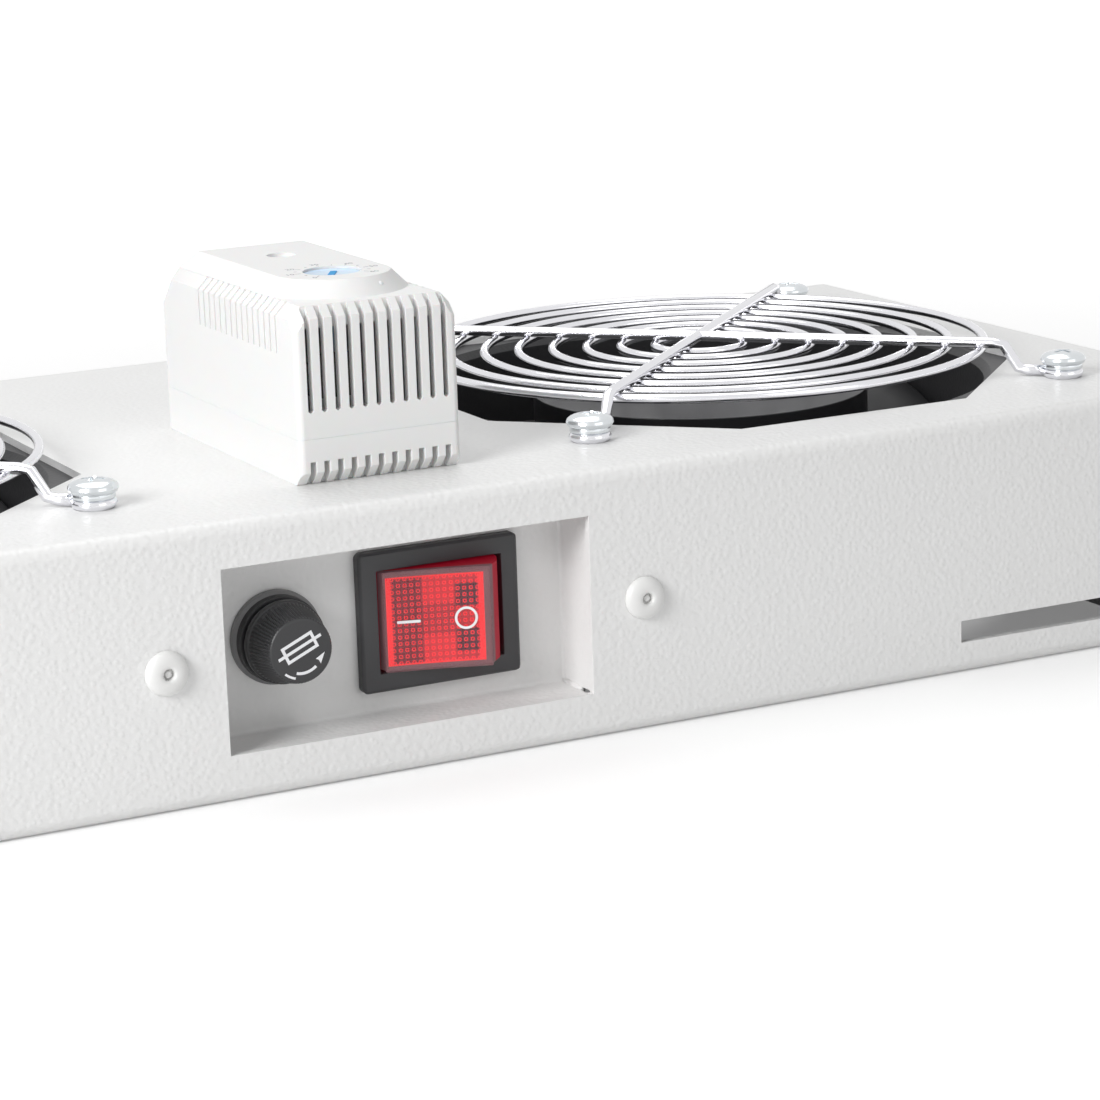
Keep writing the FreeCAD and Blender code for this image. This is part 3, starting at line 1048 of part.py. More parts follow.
def make_earth_point():
    """Welded earth stud under the top panel with its washer and nut."""
    stud = new_body("earth_stud", "dim.earth_x", "dim.earth_y", UNDER_TOP)
    pad(stud, sketch_on(stud, "XY", "0", circle("dim.earth_stud")), "dim.earth_stud_long", forward=False)
    node(stud, "earth_stud")
    washer = new_body("earth_washer", "dim.earth_x", "dim.earth_y", UNDER_TOP)
    ring = (circle("dim.earth_washer"), circle("dim.earth_stud"))
    pad(washer, sketch_on(washer, "XY", "0", *ring), "dim.earth_washer_thick", forward=False)
    node(washer, "earth_washer")
    seat = f"{UNDER_TOP} - dim.earth_washer_thick"
    nut = new_body("earth_nut", "dim.earth_x", "dim.earth_y", seat)
    ring = (hexagon("dim.earth_nut_flats"), circle("dim.earth_stud"))
    pad(nut, sketch_on(nut, "XY", "0", *ring), "dim.earth_nut_thick", forward=False)
    node(nut, "earth_nut")


def check_document():
    """Stop on any failed object and on any null or invalid sub-part shape."""
    failed = [item.Name for item in doc.Objects if {"Invalid", "Error"} & set(item.State)]
    if failed:
        raise RuntimeError("failed objects: " + ", ".join(failed))
    for item in nodes:
        if item.Shape.isNull() or not item.Shape.isValid() or not item.Shape.Solids:
            raise RuntimeError("bad shape: " + item.Label)


def write_parts():
    os.makedirs("parts", exist_ok=True)
    for item in nodes:
        item.Shape.exportStep(os.path.join("parts", item.Label + ".step"))
        print(f"{item.Label}: {len(item.Shape.Solids)} solid(s), {item.Shape.Volume:.1f} mm3")


make_housing()
make_control_pan()
make_pan_rivets()
for side_name, side_sign in SIDES.items():
    make_fan_frame(side_name, side_sign)
    make_fan_spider(side_name, side_sign)
    make_fan_rotor(side_name, side_sign)
    make_fan_core(side_name, side_sign)
    make_guard(side_name, side_sign)
make_fan_fasteners()
make_thermostat_base()
make_thermostat_cover()
make_thermostat_works()
make_switch_case()
make_switch_rocker()
make_switch_insides()
make_fuse_holder()
make_fuse_link()
make_gland()
make_terminal_block()
make_earth_point()
doc.recompute()
check_document()
write_parts()
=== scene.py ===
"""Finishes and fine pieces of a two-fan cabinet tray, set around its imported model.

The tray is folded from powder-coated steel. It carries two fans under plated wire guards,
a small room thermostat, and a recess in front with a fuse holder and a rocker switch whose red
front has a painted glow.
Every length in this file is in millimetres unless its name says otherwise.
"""
import json
import logging
import math
import random
from dataclasses import dataclass
from enum import Enum
from itertools import product
from typing import Callable, Iterable, Sequence

import bmesh
import bpy
from mathutils import Matrix, Vector

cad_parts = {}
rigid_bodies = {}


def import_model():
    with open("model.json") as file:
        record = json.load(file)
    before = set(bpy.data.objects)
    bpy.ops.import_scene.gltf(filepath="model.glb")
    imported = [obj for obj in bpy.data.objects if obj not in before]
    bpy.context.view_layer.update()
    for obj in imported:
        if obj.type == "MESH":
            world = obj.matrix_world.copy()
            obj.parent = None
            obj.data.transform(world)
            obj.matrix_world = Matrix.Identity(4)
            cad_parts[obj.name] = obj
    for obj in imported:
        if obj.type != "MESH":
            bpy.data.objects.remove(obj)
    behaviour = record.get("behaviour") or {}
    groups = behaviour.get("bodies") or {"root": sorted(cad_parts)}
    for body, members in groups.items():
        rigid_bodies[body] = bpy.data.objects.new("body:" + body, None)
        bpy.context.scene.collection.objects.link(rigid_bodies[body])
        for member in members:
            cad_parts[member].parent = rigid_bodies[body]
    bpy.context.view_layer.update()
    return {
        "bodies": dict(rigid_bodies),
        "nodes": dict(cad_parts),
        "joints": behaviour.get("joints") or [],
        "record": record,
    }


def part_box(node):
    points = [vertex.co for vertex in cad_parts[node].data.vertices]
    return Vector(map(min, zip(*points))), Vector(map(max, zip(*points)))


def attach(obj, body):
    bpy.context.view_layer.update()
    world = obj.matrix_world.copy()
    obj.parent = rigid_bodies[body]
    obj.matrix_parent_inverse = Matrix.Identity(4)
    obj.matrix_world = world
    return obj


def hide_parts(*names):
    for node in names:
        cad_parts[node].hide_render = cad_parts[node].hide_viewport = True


MM = 0.001
WELD_GAP = 0.002
FLAT_ANGLE = 0.6
SHARP_ANGLE = 38.0
INK_FOOT, INK_TOP = -0.02, 0.03
LOG = logging.getLogger("fan_tray")

Colour = tuple[float, float, float]
Point = tuple[float, float]
Socket = bpy.types.NodeSocket


class Side(Enum):
    """The two fans, named as seen from the control side."""

    LEFT = "left"
    RIGHT = "right"


class Texture(Enum):
    """Shared surface effects, each one a shader node group."""

    PEEL = "orange_peel"
    GRAIN = "moulded_grain"
    TONE = "tone_drift"
    BRUSH = "drawn_wire_streaks"


def rgba(colour: Colour) -> tuple[float, float, float, float]:
    """A colour with full alpha."""
    return (*colour, 1.0)


def fill(node: bpy.types.Node, values: dict[str, object]) -> None:
    """Set the open inputs of a node.

    Args:
        node: the node.
        values: a number, colour or vector for each named input.
    """
    for name, value in values.items():
        node.inputs[name].default_value = value


class NodeSheet:
    """A small helper round one shader node tree."""

    def __init__(self, tree: bpy.types.NodeTree) -> None:
        """Start with an empty tree.

        Args:
            tree: the node tree to fill.
        """
        self.tree = tree
        tree.nodes.clear()

    def add(self, kind: str, **settings: object) -> bpy.types.Node:
        """Add a node and set its properties.

        Args:
            kind: the node's type without the ShaderNode prefix.
            settings: property names and values of the node.

        Returns:
            The new node.
        """
        prefix = "" if kind.startswith("Node") else "ShaderNode"
        node = self.tree.nodes.new(prefix + kind)
        for name, value in settings.items():
            setattr(node, name, value)
        return node

    def join(self, source: Socket, target: Socket) -> None:
        """Link an output to an input."""
        self.tree.links.new(source, target)

    def math(self, operation: str, *values: object) -> Socket:
        """Work out one step of arithmetic.

        Args:
            operation: the Math node's operation.
            values: numbers or output sockets, in order.

        Returns:
            The result's socket.
        """
        node = self.add("Math", operation=operation)
        for slot, value in enumerate(values):
            if isinstance(value, (int, float)):
                node.inputs[slot].default_value = value
            else:
                self.join(value, node.inputs[slot])
        return node.outputs[0]

    def plus(self, *values: object) -> Socket:
        """The sum of two numbers or sockets."""
        return self.math("ADD", *values)

    def minus(self, *values: object) -> Socket:
        """The first of two numbers or sockets, less the second."""
        return self.math("SUBTRACT", *values)

    def times(self, *values: object) -> Socket:
        """The product of two numbers or sockets."""
        return self.math("MULTIPLY", *values)

    def ramp(self, value: Socket, low: float, high: float,
             start: float = 0.0, end: float = 1.0) -> Socket:
        """Map a value smoothly from one range to another.

        Args:
            value: the socket to map.
            low: where the ramp starts.
            high: where the ramp ends.
            start: result at and below low.
            end: result at and above high.

        Returns:
            The result's socket.
        """
        node = self.add("MapRange", interpolation_type="SMOOTHSTEP")
        self.join(value, node.inputs["Value"])
        fill(node, {"From Min": low, "From Max": high, "To Min": start, "To Max": end})
        return node.outputs["Result"]

    def mix(self, factor: Socket, first: object, second: object) -> Socket:
        """Mix two colours.

        Args:
            factor: share of the second colour.
            first: a colour or a socket.
            second: a colour or a socket.

        Returns:
            The mixed colour's socket.
        """
        node = self.add("Mix", data_type="RGBA")
        self.join(factor, node.inputs["Factor"])
        for name, value in (("A", first), ("B", second)):
            socket = next(s for s in node.inputs if s.name == name and s.type == "RGBA")
            if isinstance(value, tuple):
                socket.default_value = rgba(value)
            else:
                self.join(value, socket)
        return next(s for s in node.outputs if s.type == "RGBA")

    def noise(self, place: Socket, scale: Socket, detail: float, roughness: float = 0.5) -> Socket:
        """Add smooth noise.

        Args:
            place: the surface point.
            scale: features per metre.
            detail: how many finer layers it has.
            roughness: strength of the finer layers.

        Returns:
            The noise, a value round one half.
        """
        node = self.add("TexNoise")
        fill(node, {"Detail": detail, "Roughness": roughness})
        self.join(place, node.inputs["Vector"])
        self.join(scale, node.inputs["Scale"])
        return node.outputs["Fac"]

    def bump(self, height: Socket, depth: float, shader: bpy.types.Node) -> None:
        """Tilt a shader's normals by a height.

        Args:
            height: the socket that gives it, from 0 to 1.
            depth: how high a height of 1 stands.
            shader: whose normals are tilted.
        """
        node = self.add("Bump")
        node.inputs["Distance"].default_value = depth * MM
        self.join(height, node.inputs["Height"])
        self.join(node.outputs["Normal"], shader.inputs["Normal"])


class TextureShelf:
    """Builds each shared effect once and hands out its node group."""

    def __init__(self) -> None:
        """Start with no groups."""
        self._groups: dict[Texture, bpy.types.NodeTree] = {}
        self._makers: dict[Texture, Callable[[], bpy.types.NodeTree]] = {
            Texture.PEEL: self._make_peel, Texture.GRAIN: self._make_grain,
            Texture.TONE: self._make_tone, Texture.BRUSH: self._make_brush}

    def get(self, texture: Texture) -> bpy.types.NodeTree:
        """The node group of an effect, built on first use.

        Args:
            texture: which effect.

        Returns:
            Its node group.
        """
        if texture not in self._groups:
            self._groups[texture] = self._makers[texture]()
        return self._groups[texture]

    def emboss(self, sheet: NodeSheet, shader: bpy.types.Node, texture: Texture,
               features: float, depth: float) -> None:
        """Give a shader one of the shared reliefs.

        Args:
            sheet: the material's node sheet.
            shader: whose normals are tilted.
            texture: which relief.
            features: how many of its features lie in a metre.
            depth: height of the relief.
        """
        relief = sheet.add("Group", node_tree=self.get(texture))
        relief.inputs["Features"].default_value = features
        sheet.join(sheet.add("TexCoord").outputs["Object"], relief.inputs["Vector"])
        sheet.bump(relief.outputs["Height"], depth, shader)

    @staticmethod
    def _new(name: str, inputs: dict[str, float | None],
             outputs: Sequence[str]) -> tuple[NodeSheet, bpy.types.Node, bpy.types.Node]:
        """Make an empty group with its sockets.

        Args:
            name: the group's name.
            inputs: default of each named input, none for a vector or a colour.
            outputs: the names of the outputs.

        Returns:
            The sheet, the group's input node and its output node.
        """
        tree = bpy.data.node_groups.new(name, "ShaderNodeTree")
        sockets = [(label, "INPUT") for label in inputs] + [(label, "OUTPUT") for label in outputs]
        for label, way in sockets:
            kind = label if label in ("Vector", "Color") else "Float"
            socket = tree.interface.new_socket(label, in_out=way, socket_type="NodeSocket" + kind)
            if way == "INPUT" and kind == "Float":
                socket.default_value = inputs[label]
        sheet = NodeSheet(tree)
        return sheet, sheet.add("NodeGroupInput"), sheet.add("NodeGroupOutput")

    def _make_peel(self) -> bpy.types.NodeTree:
        """The soft dimples of sprayed powder, with a finer ripple on them."""
        sheet, given, result = self._new(
            "orange_peel", {"Vector": None, "Features": 700, "Ripple": 0.25}, ["Height"])
        place, features = given.outputs["Vector"], given.outputs["Features"]
        cells = sheet.add("TexVoronoi", feature="SMOOTH_F1")
        fill(cells, {"Smoothness": 0.9, "Randomness": 1.0})
        sheet.join(place, cells.inputs["Vector"])
        sheet.join(features, cells.inputs["Scale"])
        dimples = sheet.ramp(cells.outputs["Distance"], 0.05, 0.75, 1.0, 0.0)
        fine = sheet.noise(place, sheet.times(features, 0.8), 3.0)
        ripple = sheet.times(fine, given.outputs["Ripple"])
        sheet.join(sheet.plus(dimples, ripple), result.inputs["Height"])
        return sheet.tree

    def _make_grain(self) -> bpy.types.NodeTree:
        """The even fine grain of a spark-eroded mould."""
        sheet, given, result = self._new(
            "moulded_grain", {"Vector": None, "Features": 4000}, ["Height"])
        grain = sheet.noise(given.outputs["Vector"], given.outputs["Features"], 2.0, 0.6)
        sheet.join(grain, result.inputs["Height"])
        return sheet.tree

    def _make_tone(self) -> bpy.types.NodeTree:
        """Slow changes of tone and gloss over a surface."""
        sheet, given, result = self._new(
            "tone_drift", {"Vector": None, "Color": None, "Patch": 40, "Drift": 0.03,
                           "Roughness": 0.4, "Gloss Drift": 0.05}, ["Color", "Roughness"])
        slow = sheet.noise(given.outputs["Vector"], given.outputs["Patch"], 4.0)
        swing = sheet.minus(slow, 0.5)
        level = sheet.plus(sheet.times(swing, given.outputs["Drift"]), 1.0)
        shaded = sheet.add("VectorMath", operation="SCALE")
        sheet.join(given.outputs["Color"], shaded.inputs[0])
        sheet.join(level, shaded.inputs["Scale"])
        sheet.join(shaded.outputs[0], result.inputs["Color"])
        gloss = sheet.times(swing, given.outputs["Gloss Drift"])
        sheet.join(sheet.plus(gloss, given.outputs["Roughness"]), result.inputs["Roughness"])
        return sheet.tree

    def _make_brush(self) -> bpy.types.NodeTree:
        """Fine die marks and mottling on plated wire and turned steel."""
        sheet, given, result = self._new(
            "drawn_wire_streaks", {"Vector": None, "Features": 900}, ["Height"])
        stretch = sheet.add("Mapping")
        stretch.inputs["Scale"].default_value = (1.0, 1.0, 6.0)
        sheet.join(given.outputs["Vector"], stretch.inputs["Vector"])
        streaks = sheet.noise(stretch.outputs["Vector"], given.outputs["Features"], 3.0)
        sheet.join(streaks, result.inputs["Height"])
        return sheet.tree


@dataclass(frozen=True)
class Finish:
    """An opaque finish: colour, gloss and relief of one kind of surface.

    Attributes:
        name: the material's name.
        colour: linear base colour.
        roughness: mean roughness.
        metallic: 1 for bare or plated metal.
        relief: which shared relief it carries.
        relief_scale: features per metre of that relief.
        relief_depth: height of the relief.
        drift: share by which the tone wanders.
        gloss_drift: how far the roughness wanders.
        coat: weight of a clear coat.
        glow: share of light that scatters below the surface.
        coat_roughness: roughness of that coat.
        glow_depth: how far that light travels below the surface.
    """

    name: str
    colour: Colour
    roughness: float
    metallic: float = 0.0
    relief: Texture = Texture.GRAIN
    relief_scale: float = 3500.0
    relief_depth: float = 0.004
    drift: float = 0.04
    gloss_drift: float = 0.08
    coat: float = 0.0
    glow: float = 0.0
    coat_roughness: float = 0.12
    glow_depth: float = 1.5

    def build(self, shelf: TextureShelf) -> bpy.types.Material:
        """Make the material.

        Args:
            shelf: where the shared effects come from.

        Returns:
            The new material.
        """
        material, sheet, shader = blank_material(self.name)
        place = sheet.add("TexCoord").outputs["Object"]
        tone = sheet.add("Group", node_tree=shelf.get(Texture.TONE))
        sheet.join(place, tone.inputs["Vector"])
        self.colour_into(sheet, place, tone.inputs["Color"])
        fill(tone, {"Drift": self.drift, "Roughness": self.roughness,
                    "Gloss Drift": self.gloss_drift})
        sheet.join(tone.outputs["Color"], shader.inputs["Base Color"])
        sheet.join(tone.outputs["Roughness"], shader.inputs["Roughness"])
        fill(shader, {"Metallic": self.metallic, "Coat Weight": self.coat,
                      "Coat Roughness": self.coat_roughness})
        if self.glow:
            fill(shader, {"Subsurface Weight": self.glow,
                          "Subsurface Scale": self.glow_depth * MM})
        shelf.emboss(sheet, shader, self.relief, self.relief_scale, self.relief_depth)
        return material

    def colour_into(self, sheet: NodeSheet, place: Socket,
                    socket: Socket) -> None:
        """Set the colour of the surface.

        Args:
            sheet: the material's node sheet.
            place: the surface point in the piece's own frame.
            socket: where the colour goes.
        """
        socket.default_value = rgba(self.colour)


@dataclass(frozen=True)
class BandedFinish(Finish):
    """A finish with another colour in front of a level along Y.

    Attributes:
        front_colour: linear colour in front of the level.
        level: where the colour changes.
        blend: half of the width over which it changes.
    """

    front_colour: Colour = (0.02, 0.02, 0.02)
    level: float = 0.0
    blend: float = 0.03

    def colour_into(self, sheet: NodeSheet, place: Socket,
                    socket: Socket) -> None:
        """Change the colour at the level.

        Args:
            sheet: the material's node sheet.
            place: the surface point in the piece's own frame.
            socket: where the colour goes.
        """
        axes = sheet.add("SeparateXYZ")
        sheet.join(place, axes.inputs[0])
        # On the fuse holder, the colour behind the level is painted sheen.
        behind = sheet.ramp(axes.outputs["Y"], (self.level - self.blend) * MM,
                            (self.level + self.blend) * MM)
        sheet.join(sheet.mix(behind, self.front_colour, self.colour), socket)


@dataclass(frozen=True)
class ClearFinish:
    """A clear moulding or glass.

    Attributes:
        name: the material's name.
        tint: linear colour of the clear stuff.
        roughness: of its surface.
        ior: index of refraction.
        relief_scale: features per metre of its faint waviness.
        relief_depth: height of that waviness.
    """

    name: str
    tint: Colour
    roughness: float = 0.04
    ior: float = 1.49
    relief_scale: float = 600.0
    relief_depth: float = 0.004

    def build(self, shelf: TextureShelf) -> bpy.types.Material:
        """Make the material.

        Args:
            shelf: where the shared effects come from.

        Returns:
            The new material.
        """
        material, sheet, shader = blank_material(self.name)
        fill(shader, {"Base Color": rgba(self.tint), "Roughness": self.roughness,
                      "Transmission Weight": 1.0, "IOR": self.ior})
        shelf.emboss(sheet, shader, Texture.GRAIN, self.relief_scale, self.relief_depth)
        return material


@dataclass(frozen=True)
class DiffuserFinish:
    """The red diffuser of the rocker, with its moulded grid of small square cells, a painted glow
    and painted shade on its sides.

    Attributes:
        name: the material's name.
        lit: red of the field; its extra brightness over the sides is painted light.
        side: darker red of the sides, painted shade on the same red plastic.
        border: colour under the clear rim.
        line: colour of the dark grid lines.
        lamp_share: strength of the painted glow that lifts the field; no lamp gives it.
        pitch: distance between cells.
        aside: where the middle of the field lies along the front.
        half_width: half of the field's width.
        half_height: half of the field's height.
        front_depth: how far in front of the pivot the field starts.
        left_field: where the grid is drawn round the stroke, along the front.
        right_field: where the grid is drawn round the ring.
        ring_band: how far up and down the grid is darker beside the ring.
        cell_ring: radius of the dark ring in each cell, in cells.
    """

    name: str = "red_diffuser"
    # The field and side reds are lit and shaded copies of one red plastic: painted light and
    # painted shade.
    lit: Colour = (0.90, 0.042, 0.05)
    side: Colour = (0.34, 0.004, 0.018)
    border: Colour = (0.17, 0.085, 0.095)
    line: Colour = (0.10, 0.03, 0.042)
    lamp_share: float = 0.22
    pitch: float = 1.17
    aside: float = -0.35
    half_width: float = 8.7
    half_height: float = 8.0
    front_depth: float = 5.4
    left_field: Point = (-7.7, -2.3)
    right_field: Point = (3.6, 7.7)
    ring_band: Point = (2.0, 6.2)
    cell_ring: float = 0.23

    def build(self, shelf: TextureShelf) -> bpy.types.Material:
        """Make the material.

        Args:
            shelf: where the shared effects come from.

        Returns:
            The new material.
        """
        material, sheet, shader = blank_material(self.name)
        axes = sheet.add("SeparateXYZ")
        sheet.join(sheet.add("TexCoord").outputs["Object"], axes.inputs[0])
        across, depth, up = (sheet.math("DIVIDE", axes.outputs[axis], MM) for axis in "XYZ")
        across = sheet.minus(across, self.aside)
        far_x, far_z = (sheet.math("ABSOLUTE", value) for value in (across, up))
        dark = sheet.times(self._fields(sheet, across, far_z), self._cells(sheet, across, up))
        edge = sheet.math("MAXIMUM", *(
            sheet.ramp(value, half - 0.1, half + 0.1)
            for value, half in ((far_x, self.half_width), (far_z, self.half_height))))
        face = sheet.mix(edge, sheet.mix(dark, self.lit, self.line), self.border)
        # Faces behind the front take the darker side red: painted shade.
        behind = sheet.ramp(depth, -self.front_depth - 0.2, -self.front_depth + 0.2)
        colour = sheet.mix(behind, face, self.side)
        sheet.join(colour, shader.inputs["Base Color"])
        # The colour also drives emission: a painted glow over the whole rocker, as if its lamp were
        # on.
        sheet.join(colour, shader.inputs["Emission Color"])
        fill(shader, {"Emission Strength": self.lamp_share, "Roughness": 0.5,
                      "Specular IOR Level": 0.25, "Subsurface Weight": 0.15,
                      "Subsurface Radius": (1.0, 0.2, 0.1), "Subsurface Scale": 0.6 * MM})
        sheet.bump(sheet.minus(1.0, dark), 0.05, shader)
        return material

    def _cells(self, sheet: NodeSheet, across: Socket, up: Socket) -> Socket:
        """The dark moulded grid, broken by a bright ring in each cell.

        Args:
            sheet: the material's node sheet.
            across: distance along the front.
            up: distance along the pivot.

        Returns:
            How dark it is, from 0 to 1.
        """
        off_x, off_z = (
            sheet.math("ABSOLUTE", sheet.minus(sheet.math(
                "FRACT", sheet.plus(sheet.math("DIVIDE", value, self.pitch), 100.0)), 0.5))
            for value in (across, up))
        squares = sheet.plus(sheet.times(off_x, off_x), sheet.times(off_z, off_z))
        reach = sheet.times(
            sheet.plus(sheet.math("SQRT", squares), sheet.math("MAXIMUM", off_x, off_z)), 0.5)
        beside = sheet.math("ABSOLUTE", sheet.minus(reach, self.cell_ring))
        return sheet.minus(1.0, sheet.times(sheet.ramp(beside, 0.05, 0.12, 1.0, 0.0), 0.85))

    @staticmethod
    def _window(sheet: NodeSheet, value: Socket, span: Point) -> Socket:
        """One between two levels, nought beyond them.

        Args:
            sheet: the material's node sheet.
            value: what is compared.
            span: the lower and the upper level.

        Returns:
            The window's socket.
        """
        low, high = span
        return sheet.times(sheet.ramp(value, low - 0.3, low + 0.3),
                           sheet.ramp(value, high - 0.3, high + 0.3, 1.0, 0.0))

    def _fields(self, sheet: NodeSheet, across: Socket, far_z: Socket) -> Socket:
        """How strongly the grid is drawn in its two fields and between them.

        Args:
            sheet: the material's node sheet.
            across: distance along the front.
            far_z: distance from the middle along the pivot.

        Returns:
            The strength, from 0 to 1.
        """
        middle_field = (self.left_field[1], self.right_field[0])
        left = sheet.times(self._window(sheet, across, self.left_field), 0.88)
        beside = sheet.times(self._window(sheet, far_z, self.ring_band), 0.45)
        right = sheet.times(self._window(sheet, across, self.right_field),
                            sheet.plus(beside, 0.55))
        between = sheet.times(self._window(sheet, across, middle_field),
                              sheet.ramp(far_z, 2.4, 3.4, 0.68, 0.42))
        fade = sheet.ramp(far_z, self.half_height - 0.5, self.half_height - 0.1, 1.0, 0.0)
        return sheet.times(sheet.plus(sheet.plus(left, right), between), fade)


def blank_material(name: str) -> tuple[bpy.types.Material, NodeSheet, bpy.types.Node]:
    """A material with only a Principled shader.

    Args:
        name: the material's name.

    Returns:
        The material, its node sheet and the shader.
    """
    material = bpy.data.materials.new(name)
    material.use_nodes = True
    sheet = NodeSheet(material.node_tree)
    shader = sheet.add("BsdfPrincipled")
    sheet.join(shader.outputs["BSDF"], sheet.add("OutputMaterial").inputs["Surface"])
    return material, sheet, shader


FINISHES = {finish.name: finish for finish in (
    Finish("powder_coat", (0.83, 0.83, 0.825), 0.40, relief=Texture.PEEL, relief_scale=950,
           relief_depth=0.065, drift=0.03),
    Finish("rivet_paint", (0.80, 0.80, 0.79), 0.42, relief=Texture.PEEL, relief_scale=500,
           relief_depth=0.02),
    Finish("guard_chrome", (0.84, 0.84, 0.87), 0.16, 1.0, Texture.BRUSH, 900, 0.003),
    Finish("zinc", (0.74, 0.77, 0.79), 0.20, 1.0, Texture.BRUSH, 700, 0.006, gloss_drift=0.15),
    Finish("motor_steel", (0.56, 0.56, 0.57), 0.32, 1.0, Texture.BRUSH, 900, 0.004),
    Finish("motor_core", (0.16, 0.15, 0.14), 0.55, 0.6, Texture.BRUSH, 1500, 0.01),
    Finish("fan_casting", (0.022, 0.022, 0.024), 0.45, relief=Texture.PEEL, relief_scale=1500,
           relief_depth=0.02),
    Finish("fan_plastic", (0.018, 0.018, 0.02), 0.36),
    Finish("white_plastic", (0.83, 0.83, 0.825), 0.48, relief_scale=5000, relief_depth=0.003,
           drift=0.015, glow=0.12),
    Finish("natural_plastic", (0.80, 0.78, 0.72), 0.45, glow=0.15),
    Finish("dark_plastic", (0.047, 0.047, 0.05), 0.50, relief_scale=4200, relief_depth=0.006),
    # The fuse holder's grey behind the level, on its flange, is painted sheen on the dark plastic;
    # the black in front is its collar.
    BandedFinish("holder_plastic_painted_sheen", (0.20, 0.20, 0.203), 0.45, relief_scale=4200,
                 relief_depth=0.005, front_colour=(0.022, 0.022, 0.024), level=-65.74),
    Finish("knob_plastic", (0.032, 0.032, 0.034), 0.36, relief_depth=0.003),
    Finish("knob_face", (0.078, 0.078, 0.082), 0.42, relief_depth=0.003),
    Finish("dial_blue", (0.56, 0.72, 0.88), 0.30, coat=0.3, glow=0.1),
    Finish("dial_mark", (0.0, 0.28, 0.62), 0.6, relief_depth=0.001),
    Finish("brass", (0.72, 0.50, 0.22), 0.28, 1.0, Texture.BRUSH, 900, 0.004),
    Finish("nylon", (0.035, 0.035, 0.038), 0.42, relief_depth=0.006),
    Finish("seal_rubber", (0.02, 0.02, 0.02), 0.75, relief_depth=0.01),
    Finish("white_ink", (0.86, 0.86, 0.88), 0.5, relief_depth=0.001),
    Finish("grey_ink", (0.34, 0.34, 0.36), 0.6, relief_depth=0.001),
    # Near-black floor of each rivet eye: painted shade.
    Finish("eye_painted_shade", (0.03, 0.03, 0.03), 0.6, relief_depth=0.002),
    ClearFinish("clear_glass", (0.97, 0.98, 0.98), 0.02),
    ClearFinish("clear_lens", (1.0, 0.95, 0.95), 0.03, 1.24),
    DiffuserFinish(),
)}


class FinishBook:
    """Builds each finish once and lays it on pieces."""

    def __init__(self) -> None:
        """Start with no materials."""
        self._shelf = TextureShelf()
        self._made: dict[str, bpy.types.Material] = {}

    def get(self, name: str) -> bpy.types.Material:
        """The material of a finish.

        Args:
            name: a key of FINISHES.

        Returns:
            The material.
        """
        if name not in self._made:
            self._made[name] = FINISHES[name].build(self._shelf)
        return self._made[name]

    def lay(self, piece: bpy.types.Object, *names: str) -> None:
        """Put finishes in a piece's material slots.

        Args:
            piece: a mesh object.
            names: one key of FINISHES for each slot.
        """
        piece.data.materials.clear()
        for name in names:
            piece.data.materials.append(self.get(name))


class Workshop:
    """Everything a sub-assembly needs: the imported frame, the finishes and ways to make meshes."""

    def __init__(self, frame: dict, book: FinishBook) -> None:
        """Keep the frame and the finishes.

        Args:
            book: the finishes.
        """
        self.nodes = frame["nodes"]
        self.book = book

    def dress(self, node: str, finish: str, edge: float = 0.0) -> None:
        """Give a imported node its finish, clean shading and softened edges.

        Args:
            node: the node's name.
            finish: a key of FINISHES.
            edge: width of the softening on sharp edges.
        """
        piece = self.nodes[node]
        self.book.lay(piece, finish)
        shade_by_area(piece, edge)
        LOG.info("dressed %s in %s", node, finish)

    def dress_all(self, finishes: dict[str, tuple[str, float]]) -> None:
        """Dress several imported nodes.

        Args:
            finishes: for each node a key of FINISHES and the width of its softened edges.
        """
        for node, (finish, edge) in finishes.items():
            self.dress(node, finish, edge)

    def centre(self, node: str) -> Vector:
        """The middle of a node's box, in metres."""
        low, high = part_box(node)
        return (low + high) / 2

    def add(self, name: str, shape: bmesh.types.BMesh, body: str, slot: str, *finishes: str,
            smooth: bool = True, place: Matrix | None = None,
            instead_of: Sequence[str] = ()) -> bpy.types.Object:
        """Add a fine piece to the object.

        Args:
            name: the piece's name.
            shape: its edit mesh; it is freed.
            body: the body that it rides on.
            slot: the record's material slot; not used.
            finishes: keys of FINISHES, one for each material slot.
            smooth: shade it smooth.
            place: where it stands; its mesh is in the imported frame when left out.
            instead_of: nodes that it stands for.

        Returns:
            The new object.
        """
        piece = put_in_scene(name, mesh_from(name, shape, smooth))
        if place is not None:
            piece.matrix_world = place
        self.book.lay(piece, *finishes)
        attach(piece, body)
        if instead_of:
            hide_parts(*instead_of)
        LOG.info("made %s on %s", name, body)
        return piece


def put_in_scene(name: str, data: bpy.types.ID) -> bpy.types.Object:
    """A new object with this data, linked to the scene."""
    item = bpy.data.objects.new(name, data)
    bpy.context.scene.collection.objects.link(item)
    return item


def settled_mesh(item: bpy.types.Object) -> bpy.types.Mesh:
    """The mesh that an object has once its modifiers are worked out."""
    depsgraph = bpy.context.evaluated_depsgraph_get()
    return bpy.data.meshes.new_from_object(item.evaluated_get(depsgraph))


def split_edges(piece: bpy.types.Object, angle: float) -> None:
    """Shade a piece apart along every edge that is sharper than an angle in degrees."""
    split = piece.modifiers.new("crisp_edges", "EDGE_SPLIT")
    split.split_angle = math.radians(angle)


